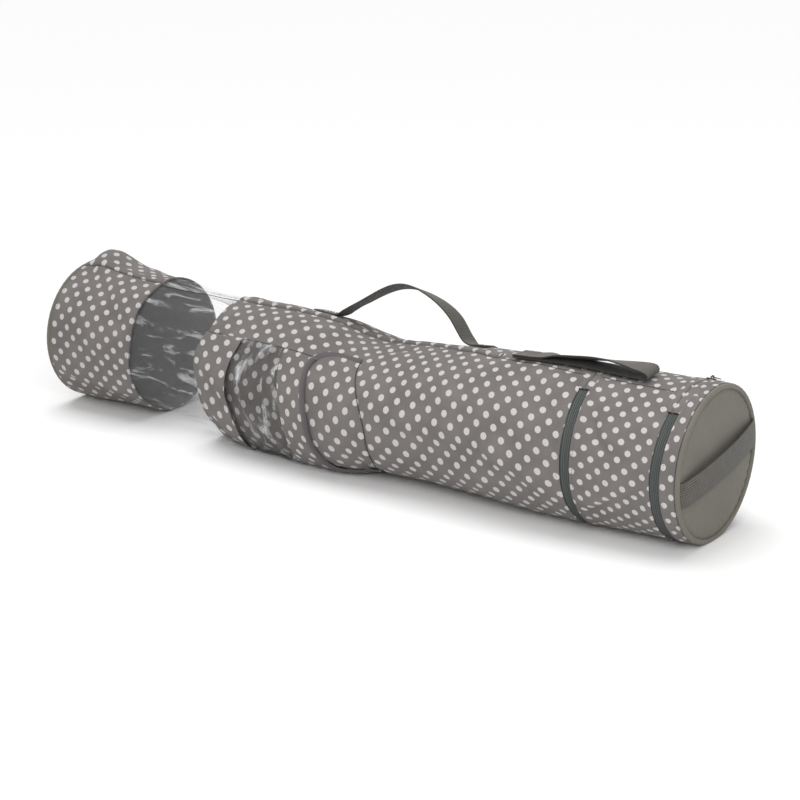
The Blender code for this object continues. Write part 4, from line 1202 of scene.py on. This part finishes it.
# Hanging loop
# Webbing folded double: both ends lie one on the other, sewn down ahead of the first zip, and
# the loop lies back along the spine, its upper run humped and twisted.
LOOP_Y, LOOP_START, LOOP_TIP = -0.0139, 0.6553, 0.7830
LOOP_RISE = 0.0032
LOOP_LIES = 0.0022            # how far the upper run starts above the lower one
LOOP_OFF_TUBE = 0.0020        # middle of the lower run over the tube's top
LOOP_FOLD = 0.0036            # radius of the turn at the tip
ANCHOR = (0.6225, 0.634, 0.645)
ANCHOR_ANGLE = 4
UPPER_LIFT = 0.0034           # middle of the upper end, sewn down over the lower one


def loop_run(station, upper):
    """Middle of the webbing and its lean in degrees on the lower or the upper run."""
    low = slack(station, 2) + LOOP_OFF_TUBE
    if not upper:
        return FAR_END + station, LOOP_Y, low, -3 * ease(0.70, LOOP_TIP, station)
    t = (station - LOOP_START) / (LOOP_TIP - LOOP_START)
    hump = LOOP_RISE * max(math.sin(math.pi * max(t, 0) ** 1.4), 0) ** 1.1
    lift = LOOP_LIES + (2 * LOOP_FOLD - LOOP_LIES) * ease(0.1, 1.0, t) + hump
    lean = 21 * (1 - ease(0.45, 1.0, t)) * ease(-0.02, 0.20, t) - 8 * ease(0.7, 1.0, t)
    return FAR_END + station, LOOP_Y, low + lift, lean


loop_webbing = webbing_finish("loop_webbing", (0.150, 0.139, 0.120), 130.0, 150.0)
points = [(*tube(s, ANCHOR_ANGLE, FOOT_LIFT), ANCHOR_ANGLE) for s in ANCHOR]
points += [loop_run(s, False) for s in spread(0.660, LOOP_TIP - 0.004, 0.014)]
fold_z = slack(LOOP_TIP, 2) + LOOP_OFF_TUBE + LOOP_FOLD
for k in range(1, 6):
    around = math.radians(-108 + 36 * k)
    points.append((FAR_END + LOOP_TIP - 0.004 + LOOP_FOLD * math.cos(around), LOOP_Y,
                   fold_z + LOOP_FOLD * math.sin(around), -(3 + k)))
points += [loop_run(s, True) for s in spread(0.660, LOOP_TIP - 0.005, 0.013)[::-1]]
points += [(*tube(s, ANCHOR_ANGLE, UPPER_LIFT), ANCHOR_ANGLE) for s in reversed(ANCHOR)]
line, distance = through(points, 260)
across = leaning(line[:, 3])
# The loop's inner faces take shaded_webbing, painted shade inside the fold; its outer faces take
# loop_webbing.
hanging_loop = strap("hanging_loop_webbing", line[:, :3], across, distance, shaded_webbing, None,
                     loop_webbing)
dress(hanging_loop, None, "webbing", "hanging_loop", "loop_anchor")
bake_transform(hanging_loop)
boxed_cross("loop_thread", 0.6250, 0.6450, ANCHOR_ANGLE, UPPER_LIFT + WEB_THICK / 2)
